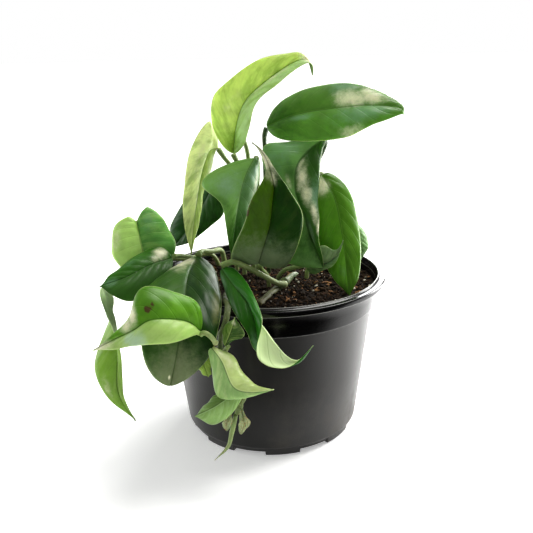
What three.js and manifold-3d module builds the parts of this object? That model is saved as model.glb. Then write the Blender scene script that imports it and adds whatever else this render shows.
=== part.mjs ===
// A pothos in a six-inch nursery pot: pot, soil, two vines, leaf stalks and leaf blades.
// Millimetres, +Z up. The origin is the centre of the pot's foot, on the surface it stands on.
// +X is to the right and -Y to the front, where the long vine hangs over the rim.
import * as THREE from 'three';
import { mergeVertices } from 'three/addons/utils/BufferGeometryUtils.js';
import Module from 'manifold-3d';

const wasm = await Module();
wasm.setup();

// ---- driving dimensions ----
const RIM_RADIUS = 83.6;
const POT_HEIGHT = 115;
const RIM_DROP = 5;              // height of the rolled rim
const COLLAR_TOP_RADIUS = 77.6;  // under the rolled rim
const COLLAR_BOTTOM = 93.6;      // height of the step where the collar starts
const COLLAR_BOTTOM_RADIUS = 75.4;
const BODY_TOP_RADIUS = 74;
const BODY_BOTTOM = 7;
const BODY_BOTTOM_RADIUS = 62.8;
const FOOT_RADIUS = 60.3;
const WALL = 1.3;
const FLOOR = 1.6;
const POT_SEGMENTS = 56;

const NOTCH_COUNT = 8;
const NOTCH_FIRST_ANGLE = -61;   // degrees from +X to the middle of the first notch
const NOTCH_WIDTH_ANGLE = 22;
const NOTCH_HEIGHT = 3;
const NOTCH_INNER_RADIUS = 49;
const NOTCH_WALL_ANGLE = 2;
const DRAIN_RADIUS = 3.5;
const DRAIN_CIRCLE_RADIUS = 54.5;

const SOIL_HEIGHT = 107;
const SOIL_CROWN = 1.6;          // how much the soil rises from the wall to the middle
const SOIL_BUMP = 0.7;
const GAP = 0.3;                 // clearance between neighbouring pieces

const STALK_RADIUS = 1.5;
const VINE_RADIUS = 1.9;
const STUMP_RADIUS = 2.5;
const SHOOT_RADIUS = 1.3;
const FOOT_DEPTH = 5;            // how far a stalk reaches down into the soil
const TUBE_STEP = 8;             // length of one straight stretch of a stalk or vine

const BLADE_THICKNESS = 0.9;
const BLADE_STEPS = 12;          // stations along a blade
const HALF_STEPS = 2;            // stations from the midrib to one edge
const BLADE_END_HALF = 0.8;      // half-width where a blade meets its stalk, and at its tip
const REACH_FIRST = 0.1;         // the first reach vector applies at this share of the blade's length
const REACH_LAST = 0.8;          // and the last one at this share

// ---- materials ----
const plain = (color, roughness) => new THREE.MeshStandardMaterial({ color, roughness, metalness: 0 });
const materials = {
  potPlastic: plain(0x2a2a28, 0.45),
  soil: plain(0x2b1c14, 1),
  lightLeaf: plain(0x8fb548, 0.4),
  greenLeaf: plain(0x4c7f2c, 0.35),
  darkLeaf: plain(0x2c5424, 0.3),
  blueLeaf: plain(0x4a7a55, 0.3),
  stalk: plain(0x7d9460, 0.5),
  vine: plain(0x7a7a4a, 0.6),
  sheath: plain(0xc4cfa4, 0.5),
};

// ---- leaf blades ----
// spine: the midrib from the stalk to the tip. left, right: reach vectors from the midrib to the full
// half-width, at evenly spaced places from REACH_FIRST to REACH_LAST; left and right as seen from the
// upper face, looking towards the tip. shoulder: where the blade is widest, as a share of its length.
// fullness: below 0.5 the base is blunter, above it the blade tapers more towards both ends.
const leaves = {
  crown: {
    material: 'lightLeaf', shoulder: 0.4,
    spine: [[-23, 5, 199], [-20, -2, 218], [-13, -4, 235], [5, -2, 250], [21, 2, 259], [29, 2, 259],
      [32, 2, 250]],
    left: [[-18, -2, 6], [-19, 3, 7], [-19, 2, 6], [-11, 2, 12], [-5, 4, 10]],
    right: [[11, -8, -1], [9, -7, -1], [7, -8, -2], [6, -9, -3], [6, -9, -5]],
  },
  high_right: {
    material: 'greenLeaf', shoulder: 0.42, fullness: 0.65,
    spine: [[1, 12, 216], [20, 8, 224], [44, 2, 228], [70, -4, 230], [89, -9, 228], [92, -9, 224]],
    left: [[-7, 20, 11], [1, 16, 16], [4, 16, 15]],
    right: [[0, -14, -20], [4, -14, -19], [-7, -15, -20]],
  },
  tall_left: {
    material: 'lightLeaf',
    spine: [[-34, 10, 202], [-40, 6, 200], [-45, 2, 187], [-50, 0, 164], [-54, 2, 142], [-56, 4, 127]],
    left: [[6, 9, 1], [6, 9, 3], [4, 10, 1], [7, 14, 0]],
    right: [[3, -7, 29], [-7, -7, 17], [-10, -8, 8], [-13, -10, 5]],
  },
  back_left: {
    material: 'darkLeaf',
    spine: [[-39, 28, 174], [-47, 27, 160], [-59, 28, 142], [-72, 31, 125]],
    left: [[13, -6, -15], [10, -7, -9], [8, -10, -14]],
    right: [[-10, 10, 9], [-16, 8, 1], [-25, 11, 4]],
  },
  mid_left: {
    material: 'blueLeaf',
    spine: [[-8, -8, 197], [-15, -16, 184], [-21, -19, 161], [-26, -14, 130]],
    left: [[8, 13, 1], [10, 12, 2], [12, 11, 3], [10, 10, -4], [4, 10, -13]],
    right: [[-30, 5, -2], [-28, -1, 0], [-13, -6, 1], [-9, -6, -3], [-10, -6, -10]],
  },
  front_centre: {
    material: 'darkLeaf', shoulder: 0.32,
    spine: [[-7, -36, 131], [-3, -41, 145], [1, -44, 159], [3, -46, 174], [4, -45, 185], [1, -42, 198],
      [-4, -38, 207], [-9, -34, 211]],
    left: [[-27, 3, -6], [-16, -4, 6], [-15, -5, 5], [-13, -4, 1], [-3, -1, -7]],
    right: [[21, 3, -14], [21, -3, -3], [20, -5, 1], [11, -4, 1], [7, -1, -4]],
  },
  mid_right: {
    material: 'blueLeaf', shoulder: 0.4,
    spine: [[37, -3, 207], [27, -8, 200], [20, -14, 191], [19, -18, 175], [24, -23, 161], [28, -30, 148],
      [32, -36, 138], [36, -40, 129]],
    left: [[14, 5, 1], [17, 3, -3], [12.5, -1.5, -3], [7, -12, -3]],
    right: [[-21, 10, 7], [-22, 16, 15], [-19, 6, 6], [-30, 3, -24]],
  },
  low_right: {
    material: 'greenLeaf',
    spine: [[25, -30, 130], [32, -33, 128], [39, -37, 131], [46, -40, 138], [49, -41, 147]],
    left: [[-4, 3, 10], [-2, 2, 12], [-4, 4, 2]],
    right: [[-2, -1, -7], [-2, -2, -5], [-2, -2, -11]],
  },
  right: {
    material: 'sheath',
    spine: [[38, -6, 184], [46, -16, 169], [50, -26, 147], [52, -36, 125], [53, -44, 109]],
    left: [[8, 8, 7], [12, 6, 2], [15, 2, -3], [19, -5, -16]],
    right: [[-15, -2, -3], [-17, 0, -8], [-18, 0, -15], [-18, -10, -20]],
  },
  far_right: {
    material: 'greenLeaf',
    spine: [[57, 24, 145], [63, 25, 132], [67, 25, 121], [69, 23, 112]],
    left: [[12, 8, -2], [14, 6, -5], [14, 5, -4]],
    right: [[-5, -6, -8], [-3, -3, -8], [-2, -5, -8]],
  },
  back_left_heart: {
    material: 'greenLeaf', fullness: 0.4,
    spine: [[-93, 2, 152], [-90, -6, 141], [-87, -10, 126], [-89, -8, 112]],
    left: [[8, 8, 17], [15, 11, 12], [20, 11, 10], [28, 12, 9], [34, 11, 4]],
    right: [[-9, -1, 10], [-17, 0, 9], [-22, -2, 5], [-28, -4, 2], [-25, -8, -5]],
  },
  left_dark: {
    material: 'darkLeaf',
    spine: [[-67, -18, 131], [-81, -28, 129], [-96, -38, 124], [-112, -44, 120]],
    left: [[5, -10, -7.5], [-3, -16, -18], [-9, -20, -15]],
    right: [[-6, 14, 9], [-11, 8, 4], [-16, 7, 4]],
  },
  big_left: {
    material: 'greenLeaf', shoulder: 0.4,
    spine: [[-50, -12, 130], [-53, -44, 127], [-53, -78, 118], [-56, -92, 98], [-62, -94, 72]],
    left: [[19, 3, -6], [23, -18.7, -8], [22, -13, -16], [27, -1, -13]],
    right: [[-22, -9.5, -3.5], [-27, -15, -4], [-27, -16, -13], [-31, 0, -17]],
  },
  front_left: {
    material: 'lightLeaf',
    spine: [[-42, -96, 108], [-48, -101, 116], [-58, -106, 120], [-69, -110, 121], [-79, -110, 115],
      [-92, -107, 108], [-104, -104, 101]],
    left: [[3, -3, -7], [2, -7, -11], [0, -7, -13], [-3, -6, -11], [-4, -5, -14]],
    right: [[5, 8, 12], [2, 12, 12], [-7, 15, 16], [-5, 6, 8], [-6, 3, 4]],
  },
  left_twisted: {
    material: 'lightLeaf',
    spine: [[-113, -30, 114], [-104, -46, 98], [-101, -56, 80], [-103, -58, 51], [-94, -54, 26]],
    left: [[-6, -4, 6], [-1, -6, 4], [5, -5, 0], [9, -1, -14]],
    right: [[6, -4, 4], [-10, 12, -3], [-21, 5, -3], [-17, -1, -5]],
  },
  front_pale: {
    material: 'lightLeaf',
    spine: [[-35, -98, 98], [-29, -103, 91], [-23, -105, 76], [-13, -103, 71], [1, -97, 69]],
    left: [[0, 9, 1], [6, 11, 6], [1, 15, 4]],
    right: [[-7, 4, -2], [-10, 4, -9.5], [-17, -2.5, -7.5]],
  },
  front_low: {
    material: 'greenLeaf',
    spine: [[-18, -98, 69], [-27, -101, 66], [-36, -105, 62], [-47, -102, 55]],
    left: [[0, 3, -11], [0, 7, -18], [-3, 10, -21]],
    right: [[-6, 3, 2], [-6, 5, 1], [-3, 10, 2]],
  },
  front_dark: {
    material: 'darkLeaf',
    spine: [[-31, -46, 131], [-20, -72, 125], [-11, -90, 120], [-5, -98, 112], [2, -102, 102],
      [10, -103, 93], [17, -102, 91], [25, -100, 99]],
    left: [[5, 14, 3], [9, -6, 1], [7, -16, -5], [-8, -15, -12], [-25, -19, -10]],
    right: [[-4, -1, -5], [-4, -10, -7], [-3, -10, -13], [-8, 5, -22], [-2, 18, -18]],
  },
  front_small: {
    material: 'greenLeaf',
    spine: [[-28, -93, 97], [-25, -94, 104], [-22.5, -94.7, 111], [-21, -95.3, 116]],
    left: [[-2, 2, 4], [-4, 3, 4], [-2, 5, 4]],
    right: [[5, 0, 2], [8, -2, -2], [14, 0, -8]],
  },
  low_yellow: {
    material: 'lightLeaf',
    spine: [[-40, -91, 90], [-41, -92, 85], [-40, -92, 81], [-39, -91, 76]],
    left: [[5, 2, -3], [4, 1, -3], [4, 3, -6]],
    right: [[-3, 1, -2], [-4, 1, -2], [-6, 3, -4]],
  },
};

// The dry skins that the new shoot came out of are shaped as small blades too.
const sheaths = {
  right: {
    material: 'sheath', shoulder: 0.5,
    spine: [[-19, -96, 56], [-18, -97, 47], [-20, -97, 39]],
    left: [[2, -2, 0], [4, -2, 0], [3, 1, 0]],
    right: [[-2, -2, 0], [-3, -2, 0], [-3, 1, 0]],
  },
  left: {
    material: 'sheath', shoulder: 0.5,
    spine: [[-26, -92, 53], [-28.5, -93, 46], [-29, -92.5, 39]],
    left: [[2, -2, 0], [3, -2, 0], [3, 1, 0]],
    right: [[-2, -2, 0], [-3, -2, 0], [-3, 1, 0]],
  },
};

// ---- stalks and vines ----
// A stalk runs from its blade down to the soil or to the vine that carries it.
const soilStalks = {
  crown: [[-23, 6, 198], [-20, 9, 189], [-18, 10, 165], [-18, 12, 107]],
  bare: [[-19, 13, 216], [-16, 14, 208], [-13, 16, 195], [-12, 18, 163], [-11, 22, 107]],
  high_right: [[0.5, 13, 215], [-1, 14, 209], [-1, 13, 200], [-1, 12, 171], [0, 14, 107]],
  tall_left: [[-33.5, 12, 201], [-30, 14, 195], [-24, 16, 184], [-24, 18, 160], [-24, 22, 107]],
  back_left: [[-38, 29, 175], [-32, 31, 174], [-28, 31, 160], [-28, 34, 107]],
  mid_left: [[-7, -4, 197], [-6, 3, 190], [-7, 5, 165], [-8, 6, 107]],
  front_centre: [[-6, -34.5, 130], [-5, -30, 125], [-1, -25, 118], [0, -23, 107]],
  mid_right: [[38, -1, 207], [40.5, 2, 206], [40, 5, 201], [33, 10, 182], [24, 14, 140], [16, 14, 107]],
  low_right: [[25, -29, 127.5], [22, -22, 124], [12, -12, 119], [7, -6, 112], [6, -5, 107]],
  right: [[38, -4, 184.5], [36, 2, 180], [33, 5, 153], [27, 0, 107]],
  far_right: [[56, 24, 146], [50, 23, 136], [36, 22, 107]],
  back_left_heart: [[-93, 4, 152], [-89, 12, 144], [-78, 18, 126], [-60, 24, 119], [-44, 31, 119],
    [-38, 36, 107]],
  left_dark: [[-66, -17, 132], [-60, -7, 129], [-50, 4, 122], [-42, 8, 107]],
  big_left: [[-49.5, -11, 131], [-47, -2, 131], [-42, 14, 126], [-36, 24, 124], [-34, 27, 117],
    [-34, 27, 107]],
  left_twisted: [[-113, -28, 115], [-106, -12, 118], [-88, 4, 122], [-60, 14, 120], [-46, 19, 107]],
};
const frontDarkStalk = [[-31, -45, 132.5], [-28, -45, 134], [-23, -44.5, 135], [-15, -43, 131],
  [-5, -39, 124], [5, -31, 115.5], [11, -26, 112.5]];
const vineStalks = {
  front_left: [[-41.4, -98, 107], [-39, -99.5, 108.5], [-35.5, -99.5, 106], [-33, -96.5, 100.5]],
  front_small: [[-26, -93, 97], [-27, -92, 95], [-28, -92, 93]],
};
const trailingVine = [
  [-22, -92, 51], [-20, -93, 58], [-18, -93, 64], [-25, -88, 74], [-31, -85.5, 88], [-30.5, -86, 100],
  [-27, -87, 111], [-26, -79, 117.5], [-28, -66, 116], [-30, -46, 110], [-30, -28, 107],
];
const stump = [[22, 8, 106], [18, 2, 110], [11, -15, 110.5], [2, -34, 110], [-8, -54, 108]];
const newShoot = [[-23, -92, 50], [-26, -91, 37], [-29, -90, 26], [-38, -88, 15]];

// ---- geometry helpers ----
const vector = (values) => new THREE.Vector3(...values);
const curveThrough = (points) => new THREE.CatmullRomCurve3(points.map(vector), false, 'catmullrom', 0.5);
const radians = THREE.MathUtils.degToRad;

// One closed tube along a curve.
function tube(points, radius, sides = 6) {
  const path = curveThrough(points);
  const section = new THREE.Shape();
  section.absarc(0, 0, radius, 0, 2 * Math.PI);
  const steps = Math.max(3, Math.round(path.getLength() / TUBE_STEP));
  return new THREE.ExtrudeGeometry(section, { steps, curveSegments: sides / 2, extrudePath: path });
}

// Half-width along a blade as a share of the full half-width: 0 at both ends, 1 at the shoulder.
function widthShare(t, shoulder, fullness) {
  const taper = fullness * (1 - shoulder) / shoulder;
  const shape = (s) => s ** fullness * (1 - s) ** taper;
  return shape(t) / shape(shoulder);
}

// The points of a blade's middle surface: rows from the stalk to the tip, columns from left to right.
// Each half is a straight reach from the midrib, arched up by bow times its own width.
function bladeSurface({ spine, left, right, shoulder = 0.3, fullness = 0.5, bow = 0.25 }) {
  const midrib = curveThrough(spine);
  const reaches = { left: curveThrough(left), right: curveThrough(right) };
  const rows = [];
  for (let i = 0; i <= BLADE_STEPS; i += 1) {
    const t = i / BLADE_STEPS;
    const centre = midrib.getPointAt(t);
    const forward = midrib.getTangentAt(t);
    const share = widthShare(t, shoulder, fullness);
    const along = THREE.MathUtils.clamp((t - REACH_FIRST) / (REACH_LAST - REACH_FIRST), 0, 1);
    const row = [];
    for (let j = -HALF_STEPS; j <= HALF_STEPS; j += 1) {
      const side = j < 0 ? 'left' : 'right';
      const reach = reaches[side].getPoint(along).multiplyScalar(share);
      reach.setLength(Math.max(reach.length(), BLADE_END_HALF));
      const up = new THREE.Vector3().crossVectors(reach, forward).normalize();
      up.multiplyScalar(side === 'left' ? -1 : 1);
      const outward = Math.abs(j) / HALF_STEPS;
      const arch = 2 * bow * outward * (1 - outward) * reach.length();
      row.push(centre.clone().addScaledVector(reach, outward).addScaledVector(up, arch));
    }
    rows.push(row);
  }
  return rows;
}

// The unit normal of a grid of points at one of its places, from the neighbours on each side.
function gridNormal(rows, i, j) {
  const last = rows.length - 1;
  const edge = rows[0].length - 1;
  const ahead = rows[Math.min(i + 1, last)][j].clone().sub(rows[Math.max(i - 1, 0)][j]);
  const across = rows[i][Math.min(j + 1, edge)].clone().sub(rows[i][Math.max(j - 1, 0)]);
  return across.cross(ahead).normalize();
}

// A blade as one closed sheet of even thickness: an upper and a lower grid joined round the rim.
function bladeGeometry(leaf) {
  const rows = bladeSurface(leaf);
  const columns = rows[0].length;
  const positions = [];
  for (const face of [0.5, -0.5]) {
    rows.forEach((row, i) => row.forEach((point, j) => {
      const offset = gridNormal(rows, i, j).multiplyScalar(face * BLADE_THICKNESS);
      positions.push(...point.clone().add(offset).toArray());
    }));
  }
  const lower = rows.length * columns;
  const triangles = [];
  const quad = (a, b, c, d) => triangles.push(a, b, c, a, c, d);
  for (let i = 0; i < rows.length - 1; i += 1) {
    for (let j = 0; j < columns - 1; j += 1) {
      const a = i * columns + j;
      quad(a, a + 1, a + 1 + columns, a + columns);
      quad(lower + a, lower + a + columns, lower + a + 1 + columns, lower + a + 1);
    }
  }
  const rim = [];
  for (let j = 0; j < columns - 1; j += 1) rim.push(j);
  for (let i = 0; i < rows.length - 1; i += 1) rim.push(i * columns + columns - 1);
  for (let j = columns - 1; j > 0; j -= 1) rim.push((rows.length - 1) * columns + j);
  for (let i = rows.length - 1; i > 0; i -= 1) rim.push(i * columns);
  rim.forEach((a, k) => {
    const b = rim[(k + 1) % rim.length];
    quad(a, lower + a, lower + b, b);
  });
  const geometry = new THREE.BufferGeometry();
  geometry.setAttribute('position', new THREE.Float32BufferAttribute(positions, 3));
  geometry.setIndex(triangles);
  return geometry;
}

// three.js geometry to a manifold solid and back.
function toSolid(geometry) {
  const bare = geometry.clone();
  bare.deleteAttribute('normal');
  bare.deleteAttribute('uv');
  const merged = mergeVertices(bare);
  const vertProperties = new Float32Array(merged.attributes.position.array);
  const triVerts = new Uint32Array(merged.index.array);
  return new wasm.Manifold(new wasm.Mesh({ numProp: 3, vertProperties, triVerts }));
}

function toGeometry(solid) {
  const { vertProperties, triVerts } = solid.getMesh();
  const geometry = new THREE.BufferGeometry();
  geometry.setAttribute('position', new THREE.Float32BufferAttribute(vertProperties, 3));
  geometry.setIndex([...triVerts]);
  return geometry;
}

// ---- pot and soil ----
const lathe = (profile) => {
  const points = profile.map(([radius, height]) => new THREE.Vector2(radius, height));
  return new THREE.LatheGeometry(points, POT_SEGMENTS).rotateX(Math.PI / 2);
};

// A ring sector from one radius to another, standing on a given height.
function sector(innerRadius, outerRadius, midAngle, widthAngle, bottom, top) {
  const from = radians(midAngle - widthAngle / 2);
  const to = radians(midAngle + widthAngle / 2);
  const outline = new THREE.Shape();
  outline.absarc(0, 0, outerRadius, from, to, false);
  outline.absarc(0, 0, innerRadius, to, from, true);
  const geometry = new THREE.ExtrudeGeometry(outline, {
    depth: top - bottom, bevelEnabled: false, curveSegments: 3,
  });
  return toSolid(geometry.translate(0, 0, bottom));
}

const notchAngles = Array.from({ length: NOTCH_COUNT }, (_, k) => NOTCH_FIRST_ANGLE + k * 360 / NOTCH_COUNT);

// The raised pocket over each drainage notch; grow widens it for the clearance in the soil.
function notchPocket(angle, grow = 0) {
  const innerRadius = NOTCH_INNER_RADIUS - WALL - grow;
  const widthAngle = NOTCH_WIDTH_ANGLE + 2 * NOTCH_WALL_ANGLE + grow * 2;
  return sector(innerRadius, FOOT_RADIUS - WALL / 2 + grow * 4, angle, widthAngle, 0, NOTCH_HEIGHT + WALL + grow);
}

function drainHole(angle) {
  const cutter = new THREE.CylinderGeometry(DRAIN_RADIUS, DRAIN_RADIUS, 20, 12).rotateX(Math.PI / 2);
  const x = DRAIN_CIRCLE_RADIUS * Math.cos(radians(angle));
  const y = DRAIN_CIRCLE_RADIUS * Math.sin(radians(angle));
  return toSolid(cutter.translate(x, y, 0));
}

function potGeometry() {
  const lipBottom = POT_HEIGHT - RIM_DROP;
  const outside = [
    [0, 0], [FOOT_RADIUS, 0], [FOOT_RADIUS + 0.6, BODY_BOTTOM - 1.5],
    [BODY_BOTTOM_RADIUS, BODY_BOTTOM], [BODY_TOP_RADIUS, COLLAR_BOTTOM - 0.3],
    [COLLAR_BOTTOM_RADIUS, COLLAR_BOTTOM], [COLLAR_TOP_RADIUS, lipBottom],
  ];
  const rim = [
    [RIM_RADIUS - 1.2, lipBottom], [RIM_RADIUS - 0.2, lipBottom + 0.9], [RIM_RADIUS, lipBottom + 2.8],
    [RIM_RADIUS - 0.9, POT_HEIGHT - 0.9], [RIM_RADIUS - 2.6, POT_HEIGHT - 1.3],
    [COLLAR_TOP_RADIUS + 1.7, POT_HEIGHT - 1.1], [COLLAR_TOP_RADIUS + 0.6, POT_HEIGHT],
    [COLLAR_TOP_RADIUS - 0.3, POT_HEIGHT - 0.8],
  ];
  const inside = [
    [COLLAR_TOP_RADIUS - WALL, lipBottom], [COLLAR_BOTTOM_RADIUS - WALL, COLLAR_BOTTOM],
    [BODY_TOP_RADIUS - WALL, COLLAR_BOTTOM - 0.8], [BODY_BOTTOM_RADIUS - WALL, BODY_BOTTOM + 1],
    [FOOT_RADIUS - WALL + 0.5, BODY_BOTTOM - 0.6], [FOOT_RADIUS - WALL, FLOOR], [0, FLOOR],
  ];
  let pot = toSolid(lathe([...outside, ...rim, ...inside]));
  for (const angle of notchAngles) {
    const notch = sector(NOTCH_INNER_RADIUS, RIM_RADIUS, angle, NOTCH_WIDTH_ANGLE, -1, NOTCH_HEIGHT);
    pot = pot.add(notchPocket(angle)).subtract(notch).subtract(drainHole(angle));
  }
  return toGeometry(pot);
}

// The lie of the soil's surface: higher in the middle, with small bumps.
function soilSurface(x, y) {
  const rise = SOIL_CROWN * (1 - (x * x + y * y) / BODY_TOP_RADIUS ** 2);
  return SOIL_HEIGHT + Math.max(rise, 0) + SOIL_BUMP * Math.sin(0.19 * x + 0.6) * Math.cos(0.17 * y - 0.4);
}

function soilGeometry() {
  const shrink = WALL + GAP;
  const ringRadii = [66, 50, 33, 16, 0];
  const profile = [
    [0, FLOOR + GAP], [FOOT_RADIUS - shrink, FLOOR + GAP], [FOOT_RADIUS - shrink + 0.5, BODY_BOTTOM - 0.3],
    [BODY_BOTTOM_RADIUS - shrink, BODY_BOTTOM + 1.4], [BODY_TOP_RADIUS - shrink, COLLAR_BOTTOM - 0.4],
    [COLLAR_BOTTOM_RADIUS - shrink, COLLAR_BOTTOM + 0.4], [COLLAR_TOP_RADIUS - shrink - 0.6, SOIL_HEIGHT],
    ...ringRadii.map((radius) => [radius, SOIL_HEIGHT]),
  ];
  const geometry = lathe(profile);
  const place = geometry.attributes.position;
  for (let i = 0; i < place.count; i += 1) {
    const onTop = Math.abs(place.getZ(i) - SOIL_HEIGHT) < 0.01;
    if (onTop) place.setZ(i, soilSurface(place.getX(i), place.getY(i)));
  }
  let soil = toSolid(geometry);
  for (const angle of notchAngles) soil = soil.subtract(notchPocket(angle, GAP));
  for (const points of Object.values(soilStalks)) {
    soil = soil.subtract(toSolid(tube(withFoot(points), STALK_RADIUS + GAP)));
  }
  soil = soil.subtract(toSolid(tube(withFoot(trailingVine), VINE_RADIUS + GAP, 8)));
  soil = soil.subtract(toSolid(tube(stump, STUMP_RADIUS + GAP, 8)));
  return toGeometry(soil);
}

// A stalk's route with the stretch that stands in the soil added at its lower end.
function withFoot(points) {
  const [x, y, z] = points.at(-1);
  return [...points, [x, y, z - FOOT_DEPTH]];
}

// ---- the plant in its pot ----
const plant = new THREE.Group();

function addPiece(name, geometry, material) {
  const mesh = new THREE.Mesh(geometry, materials[material]);
  mesh.name = name;
  plant.add(mesh);
}

addPiece('pot', potGeometry(), 'potPlastic');
addPiece('soil', soilGeometry(), 'soil');
addPiece('vine_trailing', tube(withFoot(trailingVine), VINE_RADIUS, 8), 'vine');
addPiece('vine_stump', tube(stump, STUMP_RADIUS, 8), 'vine');
addPiece('new_shoot', tube(newShoot, SHOOT_RADIUS), 'stalk');
for (const [name, points] of Object.entries(soilStalks)) {
  addPiece(`stalk_${name}`, tube(withFoot(points), STALK_RADIUS), 'stalk');
}
addPiece('stalk_front_dark', tube(frontDarkStalk, STALK_RADIUS), 'stalk');
for (const [name, points] of Object.entries(vineStalks)) {
  addPiece(`stalk_${name}`, tube(points, STALK_RADIUS), 'stalk');
}
for (const [name, leaf] of Object.entries(leaves)) {
  addPiece(`leaf_${name}`, bladeGeometry(leaf), leaf.material);
}
for (const [name, leaf] of Object.entries(sheaths)) {
  addPiece(`sheath_${name}`, bladeGeometry(leaf), leaf.material);
}

export default plant;
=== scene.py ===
# %% [markdown]
# # A pothos in a nursery pot
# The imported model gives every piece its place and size. This lesson loads it, then makes the looks:
# thin waxy leaves with veins, grooved stalks, loose soil and a satin black pot.

# %% Load the frame and keep its box
import math

import bpy
import numpy as np
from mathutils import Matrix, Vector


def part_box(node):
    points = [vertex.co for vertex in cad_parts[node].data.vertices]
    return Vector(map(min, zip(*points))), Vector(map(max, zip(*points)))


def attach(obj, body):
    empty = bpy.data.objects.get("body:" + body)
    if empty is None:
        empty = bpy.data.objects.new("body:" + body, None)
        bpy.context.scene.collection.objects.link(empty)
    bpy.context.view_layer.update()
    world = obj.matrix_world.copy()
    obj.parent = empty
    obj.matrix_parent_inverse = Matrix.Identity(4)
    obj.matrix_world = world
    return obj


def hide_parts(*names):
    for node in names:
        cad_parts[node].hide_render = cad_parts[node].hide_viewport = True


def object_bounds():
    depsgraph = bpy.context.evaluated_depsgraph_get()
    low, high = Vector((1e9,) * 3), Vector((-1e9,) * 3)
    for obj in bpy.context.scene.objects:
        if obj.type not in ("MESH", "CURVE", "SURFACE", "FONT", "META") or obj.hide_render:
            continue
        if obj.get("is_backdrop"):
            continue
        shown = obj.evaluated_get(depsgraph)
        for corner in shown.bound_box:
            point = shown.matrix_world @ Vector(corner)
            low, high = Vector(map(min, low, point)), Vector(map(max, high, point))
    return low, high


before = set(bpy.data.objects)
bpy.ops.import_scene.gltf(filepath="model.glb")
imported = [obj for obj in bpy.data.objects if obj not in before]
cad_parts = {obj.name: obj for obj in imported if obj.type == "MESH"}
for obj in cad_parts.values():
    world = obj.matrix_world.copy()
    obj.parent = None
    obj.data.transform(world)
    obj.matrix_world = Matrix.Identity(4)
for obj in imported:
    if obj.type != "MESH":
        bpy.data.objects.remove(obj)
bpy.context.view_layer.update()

pot_low, pot_high = (np.array(corner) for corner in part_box("pot"))
MM = 0.001
AXIS = (pot_low + pot_high) / 2 * (1, 1, 0)
RIM_RADIUS = (pot_high[0] - pot_low[0]) / 2
POT_HEIGHT = pot_high[2]
print("pot", round(RIM_RADIUS * 2000), "mm across,", round(POT_HEIGHT * 1000), "mm high")

# %% [markdown]
# ## Camera and light
# A houseplant on a white table is seen a little from above. The camera is placed by a distance, a height
# angle and a small roll, and it looks at a point near the rim on the pot's axis. Light comes from a large
# soft lamp overhead, weaker ones at the right, the left and the back, and a weak white sky.

# %% Camera
CAMERA_DISTANCE = 0.5
CAMERA_ELEVATION = math.radians(17.2)
CAMERA_ROLL = math.radians(-1.34)
CAMERA_LENS = 46.77
LOOK_AT = AXIS + np.array((-1.7 * MM, 0, 117.7 * MM))

camera = bpy.data.objects.new("camera", bpy.data.cameras.new("camera"))
camera.data.lens = CAMERA_LENS
camera.data.clip_start = 0.01
away = np.array((0, -math.cos(CAMERA_ELEVATION), math.sin(CAMERA_ELEVATION)))
camera.location = LOOK_AT + away * CAMERA_DISTANCE
camera.rotation_euler = (math.pi / 2 - CAMERA_ELEVATION, 0, 0)
camera.rotation_euler.rotate_axis("Z", CAMERA_ROLL)
bpy.context.scene.collection.objects.link(camera)
bpy.context.scene.camera = camera
bpy.context.scene.view_settings.view_transform = "Standard"
print("camera at", [round(value, 3) for value in camera.location])


# %% Lights
SUN_STRENGTH = 3.1
SUN_ANGLE = math.radians(38)
CONTRAST_GAMMA = 0.86

bpy.context.scene.view_settings.gamma = CONTRAST_GAMMA


def add_light(name, kind, place, power, **settings):
    """A lamp that looks at the middle of the plant from the given place."""
    lamp = bpy.data.lights.new(name, kind)
    lamp.energy = power
    for key, value in settings.items():
        setattr(lamp, key, value)
    holder = bpy.data.objects.new(name, lamp)
    holder.location = place
    direction = LOOK_AT - np.array(place)
    level = math.hypot(direction[0], direction[1])
    turn = math.atan2(direction[1], direction[0]) - math.pi / 2
    holder.rotation_euler = (math.atan2(level, -direction[2]), 0, turn)
    bpy.context.scene.collection.objects.link(holder)


add_light("overhead_softbox", "SUN", (0.42, 0.3, 1.1), SUN_STRENGTH, angle=SUN_ANGLE, color=(1, 0.985, 0.95))
add_light("right_softbox", "AREA", (0.62, 0.3, 0.22), 7.0, shape="RECTANGLE", size=0.3, size_y=0.6)
add_light("left_softbox", "AREA", (-0.7, 0.1, 0.25), 1.6, shape="RECTANGLE", size=0.3, size_y=0.5)
add_light("back_softbox", "AREA", (0.35, 0.9, 0.42), 6.0, shape="RECTANGLE", size=0.4, size_y=0.5)

# %% [markdown]
# ## Surfaces from rings
# Leaf, stalk, pot and soil are all one kind of surface: a closed ring carried along a path. A blade is
# a very flat ring, a pot is a profile turned round an axis. So one function makes every mesh: it takes an
# array of rings, joins each ring to the next one, and closes both ends with a single point.

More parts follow.
